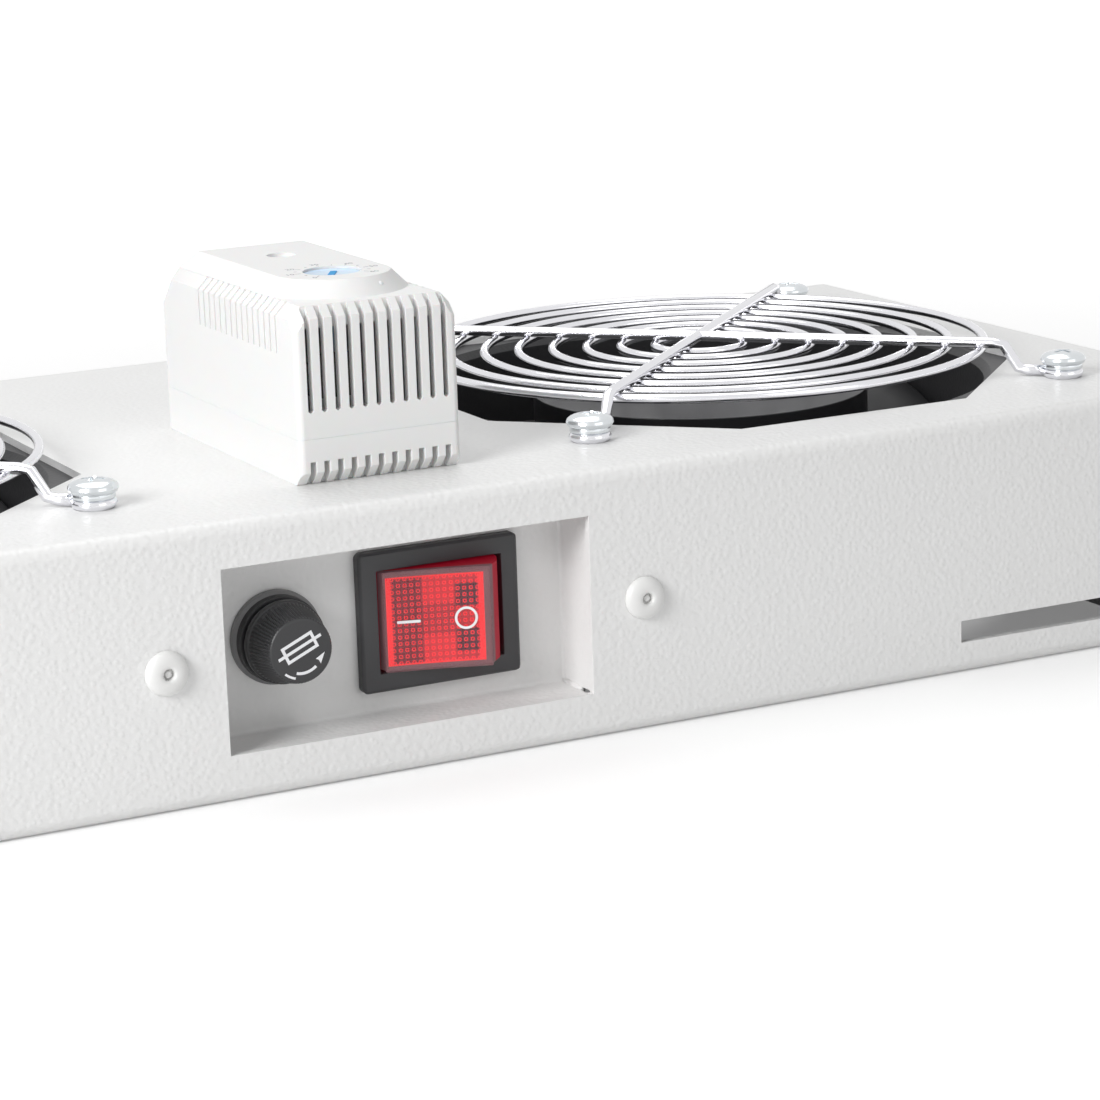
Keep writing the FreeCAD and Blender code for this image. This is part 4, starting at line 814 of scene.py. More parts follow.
def shade_by_area(piece: bpy.types.Object, edge: float = 0.0) -> None:
    """Weld a faceted mesh, round its sharp edges a little and shade it by face area.

    Args:
        piece: the object.
        edge: width of the rounding, none when 0.
    """
    for polygon in piece.data.polygons:
        polygon.use_smooth = True
    weld = piece.modifiers.new("weld", "WELD")
    weld.merge_threshold = WELD_GAP * MM
    if edge:
        flat = piece.modifiers.new("flat_faces", "DECIMATE")
        flat.decimate_type = "DISSOLVE"
        flat.angle_limit = math.radians(FLAT_ANGLE)
        soft = piece.modifiers.new("soft_edges", "BEVEL")
        soft.width = edge * MM
        soft.segments = 2
        soft.limit_method = "ANGLE"
        soft.angle_limit = math.radians(SHARP_ANGLE)
        soft.use_clamp_overlap = True
    else:
        split_edges(piece, SHARP_ANGLE)
    normals = piece.modifiers.new("face_normals", "WEIGHTED_NORMAL")
    normals.keep_sharp = True


def mesh_from(name: str, shape: bmesh.types.BMesh, smooth: bool = True) -> bpy.types.Mesh:
    """Turn an edit mesh into a mesh.

    Args:
        name: the mesh's name.
        shape: the edit mesh; it is freed.
        smooth: shade it smooth.

    Returns:
        The new mesh.
    """
    bmesh.ops.recalc_face_normals(shape, faces=shape.faces)
    mesh = bpy.data.meshes.new(name)
    shape.to_mesh(mesh)
    shape.free()
    for polygon in mesh.polygons:
        polygon.use_smooth = smooth
    return mesh


def full_turn(steps: int) -> list[float]:
    """The angles of the steps of a full turn."""
    return [2 * math.pi * step / steps for step in range(steps)]


def polar(radius: float, angle: float, height: float = 0.0) -> Vector:
    """The point at a radius, an angle and a height about the Z axis."""
    return Vector((radius * math.cos(angle), radius * math.sin(angle), height))


def facing_front(spot: Vector) -> Matrix:
    """A frame at a point in millimetres, with its Z axis towards the front."""
    return Matrix.Translation(spot * MM) @ Matrix.Rotation(math.pi / 2, 4, "X")


def bridge(shape: bmesh.types.BMesh, rings: Sequence[Sequence[bmesh.types.BMVert]],
           finish: int = 0) -> None:
    """Lay faces between neighbouring rings of points, triangles where a ring is one point.

    Args:
        shape: the edit mesh to add to.
        rings: the rings, each with the same count of points.
        finish: material slot of the faces.
    """
    for here, after in zip(rings, rings[1:]):
        for step in range(len(here)):
            following = (step + 1) % len(here)
            corners = dict.fromkeys((here[step], here[following], after[following], after[step]))
            if len(corners) > 2:
                shape.faces.new(list(corners)).material_index = finish


def lathe(shape: bmesh.types.BMesh, profile: Sequence[Point], steps: int = 48,
          place: Matrix = Matrix.Identity(4), finish: int = 0,
          waver: Callable[[float, float, float], float] | None = None) -> None:
    """Turn a profile about the Z axis.

    Args:
        shape: the edit mesh to add to.
        profile: radius and height of each point, from one end to the other.
        steps: how many steps make the full turn.
        place: where the turned piece goes.
        finish: material slot of its faces.
        waver: gives the radius from radius, height and angle, for knurls.
    """
    rings = []
    for radius, height in profile:
        if radius < 1e-6:
            rings.append([shape.verts.new(place @ (polar(0, 0, height) * MM))] * steps)
            continue
        reaches = [(waver(radius, height, angle) if waver else radius, angle)
                   for angle in full_turn(steps)]
        rings.append([shape.verts.new(place @ (polar(reach, angle, height) * MM))
                      for reach, angle in reaches])
    bridge(shape, rings, finish)


def torus(shape: bmesh.types.BMesh, radius: float, wire: float, height: float, centre: Vector,
          steps: int = 96, round_steps: int = 12) -> None:
    """Add a ring of round wire, flat about the Z axis.

    Args:
        shape: the edit mesh to add to.
        radius: of the ring's centre line.
        wire: the wire's diameter.
        height: of the centre line.
        centre: the ring's centre, in millimetres.
        steps: steps round the ring.
        round_steps: steps round the wire.
    """
    rings = []
    for angle in full_turn(steps):
        spots = [polar(radius + wire / 2 * math.cos(around), angle,
                       height + wire / 2 * math.sin(around)) for around in full_turn(round_steps)]
        rings.append([shape.verts.new((spot + centre) * MM) for spot in spots])
    bridge(shape, rings + rings[:1])


def wire_along(shape: bmesh.types.BMesh, path: Sequence[Vector], wire: float,
               round_steps: int = 12) -> None:
    """Add a capped round wire along a path of points.

    Args:
        shape: the edit mesh to add to.
        path: points of the centre line, in millimetres.
        wire: the wire's diameter.
        round_steps: steps round the wire.
    """
    rings = []
    for index, point in enumerate(path):
        before = path[max(index - 1, 0)]
        after = path[min(index + 1, len(path) - 1)]
        ahead = (after - before).normalized()
        aside = ahead.cross(Vector((0, 0, 1))).normalized()
        over = aside.cross(ahead)
        offsets = [aside * math.cos(around) + over * math.sin(around)
                   for around in full_turn(round_steps)]
        rings.append([shape.verts.new((point + offset * (wire / 2)) * MM) for offset in offsets])
    bridge(shape, rings)
    shape.faces.new(rings[0])
    shape.faces.new(rings[-1])


def prism(shape: bmesh.types.BMesh, outline: Sequence[Point], low: float, high: float,
          place: Matrix = Matrix.Identity(4), finish: int = 0) -> list[bmesh.types.BMFace]:
    """Raise a flat outline along Z.

    Args:
        shape: the edit mesh to add to.
        outline: x and y of each corner, in order.
        low: height of its foot.
        high: height of its top.
        place: where the prism goes.
        finish: material slot of its faces.

    Returns:
        The new faces.
    """
    foot, top = ([shape.verts.new(place @ (Vector((x, y, height)) * MM)) for x, y in outline]
                 for height in (low, high))
    faces = [shape.faces.new(foot[::-1]), shape.faces.new(top)]
    for index in range(len(outline)):
        after = (index + 1) % len(outline)
        faces.append(shape.faces.new((foot[index], foot[after], top[after], top[index])))
    for face in faces:
        face.material_index = finish
    return faces


def rounded(outline: Iterable[Point], radius: float, steps: int = 4) -> list[Point]:
    """Round the corners of a closed outline.

    Args:
        outline: its corners in order.
        radius: how far from each corner the rounding starts.
        steps: pieces of each rounding.

    Returns:
        The new outline.
    """
    corners = [Vector(corner) for corner in outline]
    result = []
    for index, corner in enumerate(corners):
        before = corners[index - 1]
        after = corners[(index + 1) % len(corners)]
        start = corner + (before - corner).normalized() * radius
        end = corner + (after - corner).normalized() * radius
        for step in range(steps + 1):
            share = step / steps
            spot = start.lerp(corner, share).lerp(corner.lerp(end, share), share)
            result.append((spot.x, spot.y))
    return result


def cut_away(mesh: bpy.types.Mesh, cutters: bpy.types.Mesh) -> bpy.types.Mesh:
    """Cut one mesh out of another.

    Args:
        mesh: the mesh to cut.
        cutters: what is cut away.

    Returns:
        The cut mesh.
    """
    body, tool = put_in_scene("cut_body", mesh), put_in_scene("cut_tool", cutters)
    cut = body.modifiers.new("cut", "BOOLEAN")
    cut.object = tool
    cut.solver = "EXACT"
    result = settled_mesh(body)
    for item in (body, tool):
        bpy.data.objects.remove(item)
    return result


def melt_in(shape: bmesh.types.BMesh, mesh: bpy.types.Mesh, place: Matrix) -> None:
    """Move a mesh to its place and make it part of an edit mesh.

    Args:
        shape: the edit mesh to add to.
        mesh: what is added; it is removed.
        place: where it goes.
    """
    mesh.transform(place)
    shape.from_mesh(mesh)
    bpy.data.meshes.remove(mesh)


@dataclass
class SheetMetal:
    """The folded tray, its control pan and the two blind rivets.

    Attributes:
        shop: the workshop.
        seam_wide: half of the width between the pan's corner seams.
        seam_tall: half of the height between them.
        seam_back: from the back of the pan to the back ends of the beads.
        bead: radius of the paint bead in a seam.
        head: radius of a rivet's head.
        rise: height of its dome.
        crown: radius of the lip round its eye.
        rim: height of the head's edge.
        eye: radius of the eye.
        mandrel: radius of the broken mandrel in it.
        shank: radius of the rivet behind its head.
    """

    shop: Workshop
    seam_wide: float = 35.4
    seam_tall: float = 16.9
    seam_back: float = 1.4
    bead: float = 0.86
    head: float = 3.9
    rise: float = 1.7
    crown: float = 1.7
    rim: float = 0.35
    eye: float = 1.0
    mandrel: float = 0.62
    shank: float = 1.6

    def build(self) -> None:
        """Coat the steel and set the rivets."""
        self.shop.dress_all({"housing": ("powder_coat", 0.25), "control_pan": ("powder_coat", 0.2)})
        self._make_rivets()
        self._fill_seams()

    def _fill_seams(self) -> None:
        """Paint beads in the pan's four corner seams, which stay open only near the front."""
        low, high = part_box("control_pan")
        profile = [(0, 6.9), (0.5, 6.7), (self.bead, 6.0), (self.bead, 0.0), (0, 0.0)]
        shape = bmesh.new()
        for across, up in product((-1, 1), repeat=2):
            spot = Vector((across * self.seam_wide, high.y / MM - self.seam_back,
                           (low.z + high.z) / 2 / MM + up * self.seam_tall))
            lathe(shape, profile, 20, facing_front(spot))
        self.shop.add("seam_beads", shape, "tray", "powder_coat", "powder_coat")

    def _make_rivets(self) -> None:
        """Two painted dome heads, each with the broken mandrel in its eye, whose near-black floor
        is painted shade.
        """
        low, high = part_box("pan_rivets")
        head = [(self.eye, self.rim), (self.eye + 0.02, 1.45), (1.25, 1.66),
                (self.crown, self.rise)]
        for degrees in range(15, 91, 15):
            angle = math.radians(degrees)
            head.append((self.crown + (self.head - self.crown) * math.sin(angle),
                         self.rim + (self.rise - self.rim) * math.cos(angle)))
        head += [(self.head, 0.0), (self.shank, 0.0)]
        # A near-black disc closes each eye: painted shade in the deep hole round the mandrel.
        floor = [(self.eye, 0.4), (0.0, 0.4)]
        stub = [(self.mandrel, 0.3), (self.mandrel, 0.95), (0.45, 1.1), (0.0, 1.05)]
        body = [(self.shank, 0.0), (self.shank, -2.7), (2.4, -2.8), (2.35, -4.6), (1.2, -5.3),
                (0, -5.3)]
        sections = ((head, 64), (floor, 64), (stub, 24), (body, 32))
        shape = bmesh.new()
        for x in (low.x / MM + self.head, high.x / MM - self.head):
            place = facing_front(Vector((x, low.y / MM + self.rise, (low.z + high.z) / 2 / MM)))
            for slot, (profile, steps) in enumerate(sections):
                lathe(shape, profile, steps, place, slot)
        self.shop.add("blind_rivets", shape, "tray", "rivet_paint", "rivet_paint", "eye_painted_shade",
                      "zinc", "motor_steel", instead_of=["pan_rivets"])


@dataclass
class FanUnit:
    """One fan under its guard.

    Attributes:
        shop: the workshop.
        side: which fan.
        ring_first: radius of the smallest guard ring.
        ring_step: from one ring to the next.
        ring_count: how many rings.
        ring_wire: diameter of the ring wire.
        arm_wire: diameter of the arm wire.
        reach: from the fan's centre to a screw.
        eye: outer diameter of a screw eye.
        eye_hole: radius of its hole.
        eye_thick: thickness of the flattened wire round it.
    """

    shop: Workshop
    side: Side
    ring_first: float = 9.0
    ring_step: float = 6.93
    ring_count: int = 8
    ring_wire: float = 1.8
    arm_wire: float = 2.2
    reach: float = 74.25
    eye: float = 8.1
    eye_hole: float = 2.2
    eye_thick: float = 1.8

    def build(self) -> None:
        """Dress the fan and weld its guard."""
        prefix = f"fan_{self.side.value}_"
        self.shop.dress_all({prefix + part: finish for part, finish in (
            ("frame", ("fan_casting", 0.3)), ("spider", ("fan_casting", 0.3)),
            ("rotor", ("fan_plastic", 0.25)), ("shaft", ("motor_steel", 0.0)),
            ("bearings", ("motor_steel", 0.0)), ("stator", ("motor_core", 0.0)))})
        self._make_guard(prefix + "guard")

    def _arm_path(self, angle: float, low: float, high: float) -> list[Vector]:
        """The bent centre line of one arm.

        Args:
            angle: direction of the arm.
            low: height of its ends.
            high: height of its middle.

        Returns:
            Its points, relative to the fan's centre.
        """
        half = [(self.reach - self.eye / 2 + 0.4, low), (67.5, low), (65.5, low + 0.35),
                (62.5, high - 0.35), (60.5, high), (20.0, high + 0.05)]
        bends = [(-across, height) for across, height in half] + half[::-1]
        return [polar(across, angle, height) for across, height in bends]

    def _eye_profile(self, foot: float) -> list[Point]:
        """Section through a flattened screw eye.

        Args:
            foot: height of its underside.

        Returns:
            Radius and height of each corner.
        """
        edge, top = self.eye / 2 - 0.5, foot + self.eye_thick
        return [(self.eye_hole, foot), (edge, foot), (self.eye / 2, foot + self.eye_thick / 2),
                (edge, top), (self.eye_hole, top), (self.eye_hole, foot)]

    def _make_guard(self, node: str) -> None:
        """Eight rings under two crossed arms that end in flat screw eyes.

        Args:
            node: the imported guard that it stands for.
        """
        low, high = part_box(node)
        centre = self.shop.centre(node) / MM
        centre.z = 0
        foot = low.z / MM
        arm_low = foot + self.arm_wire / 2 + 0.05
        arm_high = high.z / MM - self.arm_wire / 2 - 0.1
        ring_height = arm_high - self.arm_wire / 2 - self.ring_wire / 2 + 0.25
        shape = bmesh.new()
        for index in range(self.ring_count):
            torus(shape, self.ring_first + index * self.ring_step, self.ring_wire, ring_height,
                  centre)
        for angle in (math.radians(45), math.radians(135)):
            path = self._arm_path(angle, arm_low, arm_high)
            wire_along(shape, [point + centre for point in path], self.arm_wire)
            for end in (-1, 1):
                spot = polar(end * self.reach, angle) + centre
                lathe(shape, self._eye_profile(foot), 40, Matrix.Translation(spot * MM))
        self.shop.add(f"{self.side.value}_finger_guard", shape, "tray", "guard_chrome",
                      "guard_chrome", instead_of=[node])


@dataclass
class FanFasteners:
    """Pan-head screws with cross recesses, spring washers and nuts.

    Attributes:
        shop: the workshop.
        head: diameter of the screw heads.
        head_rise: height of the screw heads.
        brim: height of a head's upright edge.
        thread: diameter of the thread.
        thread_root: diameter of its root.
        thread_pitch: from one turn of it to the next.
        shank_length: length under the head.
        recess_reach: half of the cross recess's length.
        recess_wide: half of the width of its arms.
        recess_depth: below the top of the head.
        recess_taper: size of its floor as a share of its mouth.
        pitch: between fans.
        hole_pitch: between the holes of one fan.
        seed: for the turn that each screw stopped at.
    """

    shop: Workshop
    head: float = 8.9
    head_rise: float = 2.4
    brim: float = 0.8
    thread: float = 3.9
    thread_root: float = 3.36
    thread_pitch: float = 0.7
    shank_length: float = 16.0
    recess_reach: float = 2.3
    recess_wide: float = 0.42
    recess_depth: float = 1.5
    recess_taper: float = 0.62
    pitch: float = 201.0
    hole_pitch: float = 105.0
    seed: int = 7

    def build(self) -> None:
        """Make the screws and dress washers and nuts."""
        self.shop.dress_all({"fan_washers": ("zinc", 0.15), "fan_nuts": ("zinc", 0.2)})
        self._make_screws()

    def _screw_profile(self) -> list[Point]:
        """Radius and height of a screw's outline, from its tip to the top of its head."""
        radius, thick, tip = self.head / 2, self.thread / 2, -self.shank_length
        profile = [(0, tip), (1.4, tip), (thick, tip + 0.6)]
        for turn in range(int((self.shank_length - 2.5) / self.thread_pitch)):
            height = tip + 0.8 + turn * self.thread_pitch
            profile += [(thick, height), (self.thread_root / 2, height + self.thread_pitch / 2)]
        profile += [(thick, -0.9), (thick, 0.0), (radius - 0.45, 0.0), (radius - 0.33, 0.1),
                    (radius - 0.03, self.brim - 0.15), (radius, self.brim - 0.05),
                    (radius - 0.04, self.brim)]
        for degrees in range(12, 85, 12):
            angle = math.radians(degrees)
            profile.append((radius * math.cos(angle) ** 0.8,
                            self.brim + (self.head_rise - self.brim) * math.sin(angle)))
        return profile + [(0, self.head_rise)]

    def _screw_mesh(self) -> bpy.types.Mesh:
        """One screw with its seat at height 0."""
        shape, cutter = bmesh.new(), bmesh.new()
        lathe(shape, self._screw_profile(), 48)
        wide, reach = self.recess_wide, self.recess_reach
        arm = [Vector((wide, -reach, 0)), Vector((wide, -wide, 0)), Vector((reach, -wide, 0))]
        cross = [Matrix.Rotation(turn, 4, "Z") @ corner for turn in full_turn(4) for corner in arm]
        faces = prism(cutter, [(corner.x, corner.y) for corner in cross],
                      self.head_rise - self.recess_depth, self.head_rise + 0.5)
        for vertex in faces[0].verts:
            vertex.co.x *= self.recess_taper
            vertex.co.y *= self.recess_taper
        return cut_away(mesh_from("screw_body", shape),
                        mesh_from("cross_recess", cutter, smooth=False))

    def _make_screws(self) -> None:
        """Eight screws, each stopped at its own turn."""
        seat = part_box("fan_screws")[0].z / MM + self.shank_length
        rng = random.Random(self.seed)
        master = self._screw_mesh()
        shape = bmesh.new()
        for fan, across, deep in product((-1, 1), repeat=3):
            spot = Vector((fan * self.pitch + across * self.hole_pitch, deep * self.hole_pitch, 0))
            spot = spot / 2 + Vector((0, 0, seat))
            turn = Matrix.Rotation(rng.uniform(0, math.pi / 2), 4, "Z")
            melt_in(shape, master.copy(), Matrix.Translation(spot * MM) @ turn)
        screws = self.shop.add("fan_screw_set", shape, "tray", "zinc", "zinc",
                               instead_of=["fan_screws"])
        split_edges(screws, 40)


@dataclass
class Thermostat:
    """The white room thermostat: base, vented cover, blue setting dial.

    Attributes:
        shop: the workshop.
        dial: diameter of the dial.
        scale_radius: radius of the printed scale.
        numbers: the plain numbers round the dial.
        sweep: angle that the scale covers, in degrees.
        pointer: turn of the dial's bar from the Y axis, in degrees.
        bar_length: half of that bar's length.
        bar_wide: half of its width.
        figure: height of the numbers.
    """

    shop: Workshop
    dial: float = 10.4
    scale_radius: float = 6.6
    numbers: tuple[int, ...] = (0, 10, 20, 30, 40, 50, 60)
    sweep: float = 270.0
    pointer: float = -30.0
    bar_length: float = 2.6
    bar_wide: float = 0.6
    figure: float = 1.25

    def build(self) -> None:
        """Dress the mouldings and print the scale."""
        self.shop.dress_all({
            "thermostat_cover": ("white_plastic", 0.35), "thermostat_base": ("white_plastic", 0.3),
            "thermostat_cover_screw": ("zinc", 0.15), "thermostat_post": ("natural_plastic", 0.0),
            "thermostat_bimetal": ("motor_core", 0.0), "thermostat_fixing_screws": ("zinc", 0.15)})
        self._make_dial()
        self._make_nub()
        self._print_scale()

    def _make_dial(self) -> None:
        """The pale dished dial on its shaft, with the deep blue bar that points to the number."""
        centre = self.shop.centre("thermostat_dial")
        low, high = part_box("thermostat_dial")
        place = Matrix.Translation((centre.x, centre.y, high.z))
        radius, shaft, dish, foot = self.dial / 2, 2.0, -0.22, (low.z - high.z) / MM
        shape = bmesh.new()
        lathe(shape, [(0, dish), (radius - 0.95, dish), (radius - 0.6, -0.1), (radius - 0.4, 0.0),
                      (radius - 0.12, 0.0), (radius, -0.12), (radius, -2.0), (shaft, -2.0),
                      (shaft, foot + 0.3), (shaft - 0.3, foot), (0, foot)], 96, place)
        knob = self.shop.add("setting_dial", shape, "dial", "dial_blue", "dial_blue",
                             instead_of=["thermostat_dial"])
        split_edges(knob, 50)
        shape = bmesh.new()
        prism(shape, rounded(block(self.bar_wide, self.bar_length), 0.2), -0.3, -0.06,
              place @ Matrix.Rotation(math.radians(self.pointer), 4, "Z"))
        self.shop.add("dial_marker", shape, "dial", "dial_blue", "dial_mark", smooth=False)

    def _make_nub(self) -> None:
        """The small moulded nub on the slope in front of the dial."""
        centre = self.shop.centre("thermostat_dial")
        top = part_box("thermostat_cover")[1].z
        place = Matrix.Translation((centre.x + 4.6 * MM, centre.y - 10.6 * MM, top - 1.75 * MM))
        shape = bmesh.new()
        lathe(shape, [(0, 0.75), (0.3, 0.68), (0.52, 0.45), (0.6, 0.1), (0.6, -0.8), (0, -0.8)], 24,
              place)
        self.shop.add("crown_nub", shape, "tray", "white_plastic", "white_plastic")

    def _scale_angle(self, share: float) -> float:
        """The direction of a share of the printed scale."""
        return math.radians(-90 - (360 - self.sweep) / 2 - self.sweep * share)

    def _print_scale(self) -> None:
        """Short ticks and plain numbers on the crown, round the dial."""
        centre = self.shop.centre("thermostat_dial")
        crown = Matrix.Translation((centre.x, centre.y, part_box("thermostat_cover")[1].z))
        shape = bmesh.new()
        gaps = len(self.numbers) - 1
        for index in range(2 * gaps + 1):
            turn = Matrix.Rotation(self._scale_angle(index / (2 * gaps)), 4, "Z")
            place = crown @ turn @ Matrix.Translation((self.scale_radius * MM, 0, 0))
            prism(shape, block(0.3 if index % 2 else 0.5, 0.07), INK_FOOT, INK_TOP, place)
        for index, number in enumerate(self.numbers):
            spot = polar(self.scale_radius + 1.5, self._scale_angle(index / gaps))
            melt_in(shape, number_mesh(str(number), self.figure),
                    crown @ Matrix.Translation(spot * MM))
        self.shop.add("dial_scale", shape, "tray", "dial_blue", "grey_ink", smooth=False)


def block(wide: float, tall: float) -> list[Point]:
    """The corners of a rectangle round the origin, from half of its width and its height."""
    return [(-wide, -tall), (wide, -tall), (wide, tall), (-wide, tall)]


def number_mesh(text: str, height: float) -> bpy.types.Mesh:
    """A thin flat mesh of plain figures, centred at the origin.

    Args:
        text: the figures.
        height: of the figures.

    Returns:
        The mesh, in metres.
    """
    curve = bpy.data.curves.new("figures", "FONT")
    curve.body = text
    curve.size = height * 1.4 * MM
    curve.align_x = "CENTER"
    curve.align_y = "CENTER"
    curve.extrude = 0.02 * MM
    curve.resolution_u = 3
    holder = put_in_scene("figures", curve)
    mesh = settled_mesh(holder)
    bpy.data.objects.remove(holder)
    return mesh


@dataclass
class RockerSwitch:
    """The rocker switch in its dark bezel, its red front given a painted glow.

    Attributes:
        shop: the workshop.
        half: half of the rocker's front.
        end_rise: from the pivot to the front at its ends.
        mid_rise: from the pivot to the front in the middle.
        swing: from the pivot to the lower corners.
        skirt: how far behind the pivot the rocker reaches.
        height: of the rocker along the pivot.
        lens_thick: thickness of the clear front.
        tilt: of the rocker at rest, in degrees.
        pivot_depth: of the pivot behind the bezel's face.
        pivot: radius of the pivots at its ends.
        steps: flats in the hollow front.
    """

    shop: Workshop
    half: float = 9.6
    end_rise: float = 7.9
    mid_rise: float = 7.5
    swing: float = 11.8
    skirt: float = 3.0
    height: float = 18.1
    lens_thick: float = 0.9
    tilt: float = -17.5
    pivot_depth: float = 3.6
    pivot: float = 1.6
    steps: int = 12

    def build(self) -> None:
        """Dress the case and make the rocker."""
        self.shop.dress_all({
            "switch_case": ("dark_plastic", 0.2), "switch_lamp": ("clear_glass", 0.0),
            "switch_tabs": ("brass", 0.1)})
        self._make_rocker()

    def _place(self) -> Matrix:
        """Where the rocker's own frame stands: at its pivot, tilted."""
        low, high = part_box("switch_case")
        pivot = Vector(((low.x + high.x) / 2, low.y + self.pivot_depth * MM, (low.z + high.z) / 2))
        return Matrix.Translation(pivot) @ Matrix.Rotation(math.radians(self.tilt), 4, "Z")

    def _front(self, across: float) -> float:
        """How far in front of the pivot the hollow face lies.

        Args:
            across: distance from the middle.

        Returns:
            The distance.
        """
        share = min(abs(across) / self.half, 1.0)
        return self.mid_rise + (self.end_rise - self.mid_rise) * share ** 2

    def _curve(self, half: float, behind: float) -> list[Point]:
        """Points along the hollow face.

        Args:
            half: how far it reaches to each side.
            behind: how far behind the face the points lie.

        Returns:
            The points, from left to right.
        """
        spots = [half * (2 * step / self.steps - 1) for step in range(self.steps + 1)]
        return [(x, -self._front(x) + behind) for x in spots]

    def _make_rocker(self) -> None:
        """The red diffuser block under a clear moulded front, with its two printed marks."""
        place = self._place()
        half_height = self.height / 2
        side = math.sqrt(self.swing ** 2 - self.skirt ** 2)
        outline = self._curve(self.half - 0.12, self.lens_thick)
        outline += [(side, -self.skirt), (self.swing, 0), (side, self.skirt),
                    (-side, self.skirt), (-self.swing, 0), (-side, -self.skirt)]
        shape = bmesh.new()
        prism(shape, outline, -half_height + 0.1, half_height - 0.1)
        diffuser = self.shop.add("rocker_diffuser", shape, "rocker", "red_lens", "red_diffuser",
                                 place=place, instead_of=["switch_rocker"])
        shade_by_area(diffuser, 0.25)

        shape = bmesh.new()
        lens = self._curve(self.half, 0.0) + self._curve(self.half, self.lens_thick - 0.06)[::-1]
        prism(shape, lens, -half_height, half_height)
        clear = self.shop.add("rocker_lens", shape, "rocker", "red_lens", "clear_lens", place=place)
        shade_by_area(clear, 0.35)

        shape = bmesh.new()
        circle = [polar(self.pivot, angle) for angle in full_turn(24)]
        for level in (half_height - 0.3, -half_height - 1.0):
            prism(shape, [(spot.x, spot.y) for spot in circle], level, level + 1.3)
        self.shop.add("rocker_pivots", shape, "rocker", "red_lens", "red_diffuser", smooth=False,
                      place=place)
        self._print_marks(place)

    def _print_marks(self, place: Matrix) -> None:
        """A white stroke on the left and a white ring on the right.

        Args:
            place: the rocker's own frame.
        """
        shape = bmesh.new()
        upright = Matrix.Rotation(math.pi / 2, 4, "X")
        stroke_x, stroke_half, pen_half = -5.2, 2.1, 0.25
        front = self._front(stroke_x)
        stroke = [(stroke_x + x, y) for x, y in block(stroke_half, pen_half)]
        prism(shape, rounded(stroke, 0.2), front + INK_FOOT, front + INK_TOP, upright)
        ring_x, outer, inner = 5.0, 2.05, 1.6
        foot = self._front(ring_x) + INK_FOOT
        top = foot + 0.06
        lathe(shape, [(inner, foot), (outer, foot), (outer, top), (inner, top), (inner, foot)], 48,
              upright @ Matrix.Translation((ring_x * MM, 0, 0)))
        self.shop.add("rocker_marks", shape, "rocker", "red_lens", "white_ink", smooth=False,
                      place=place)


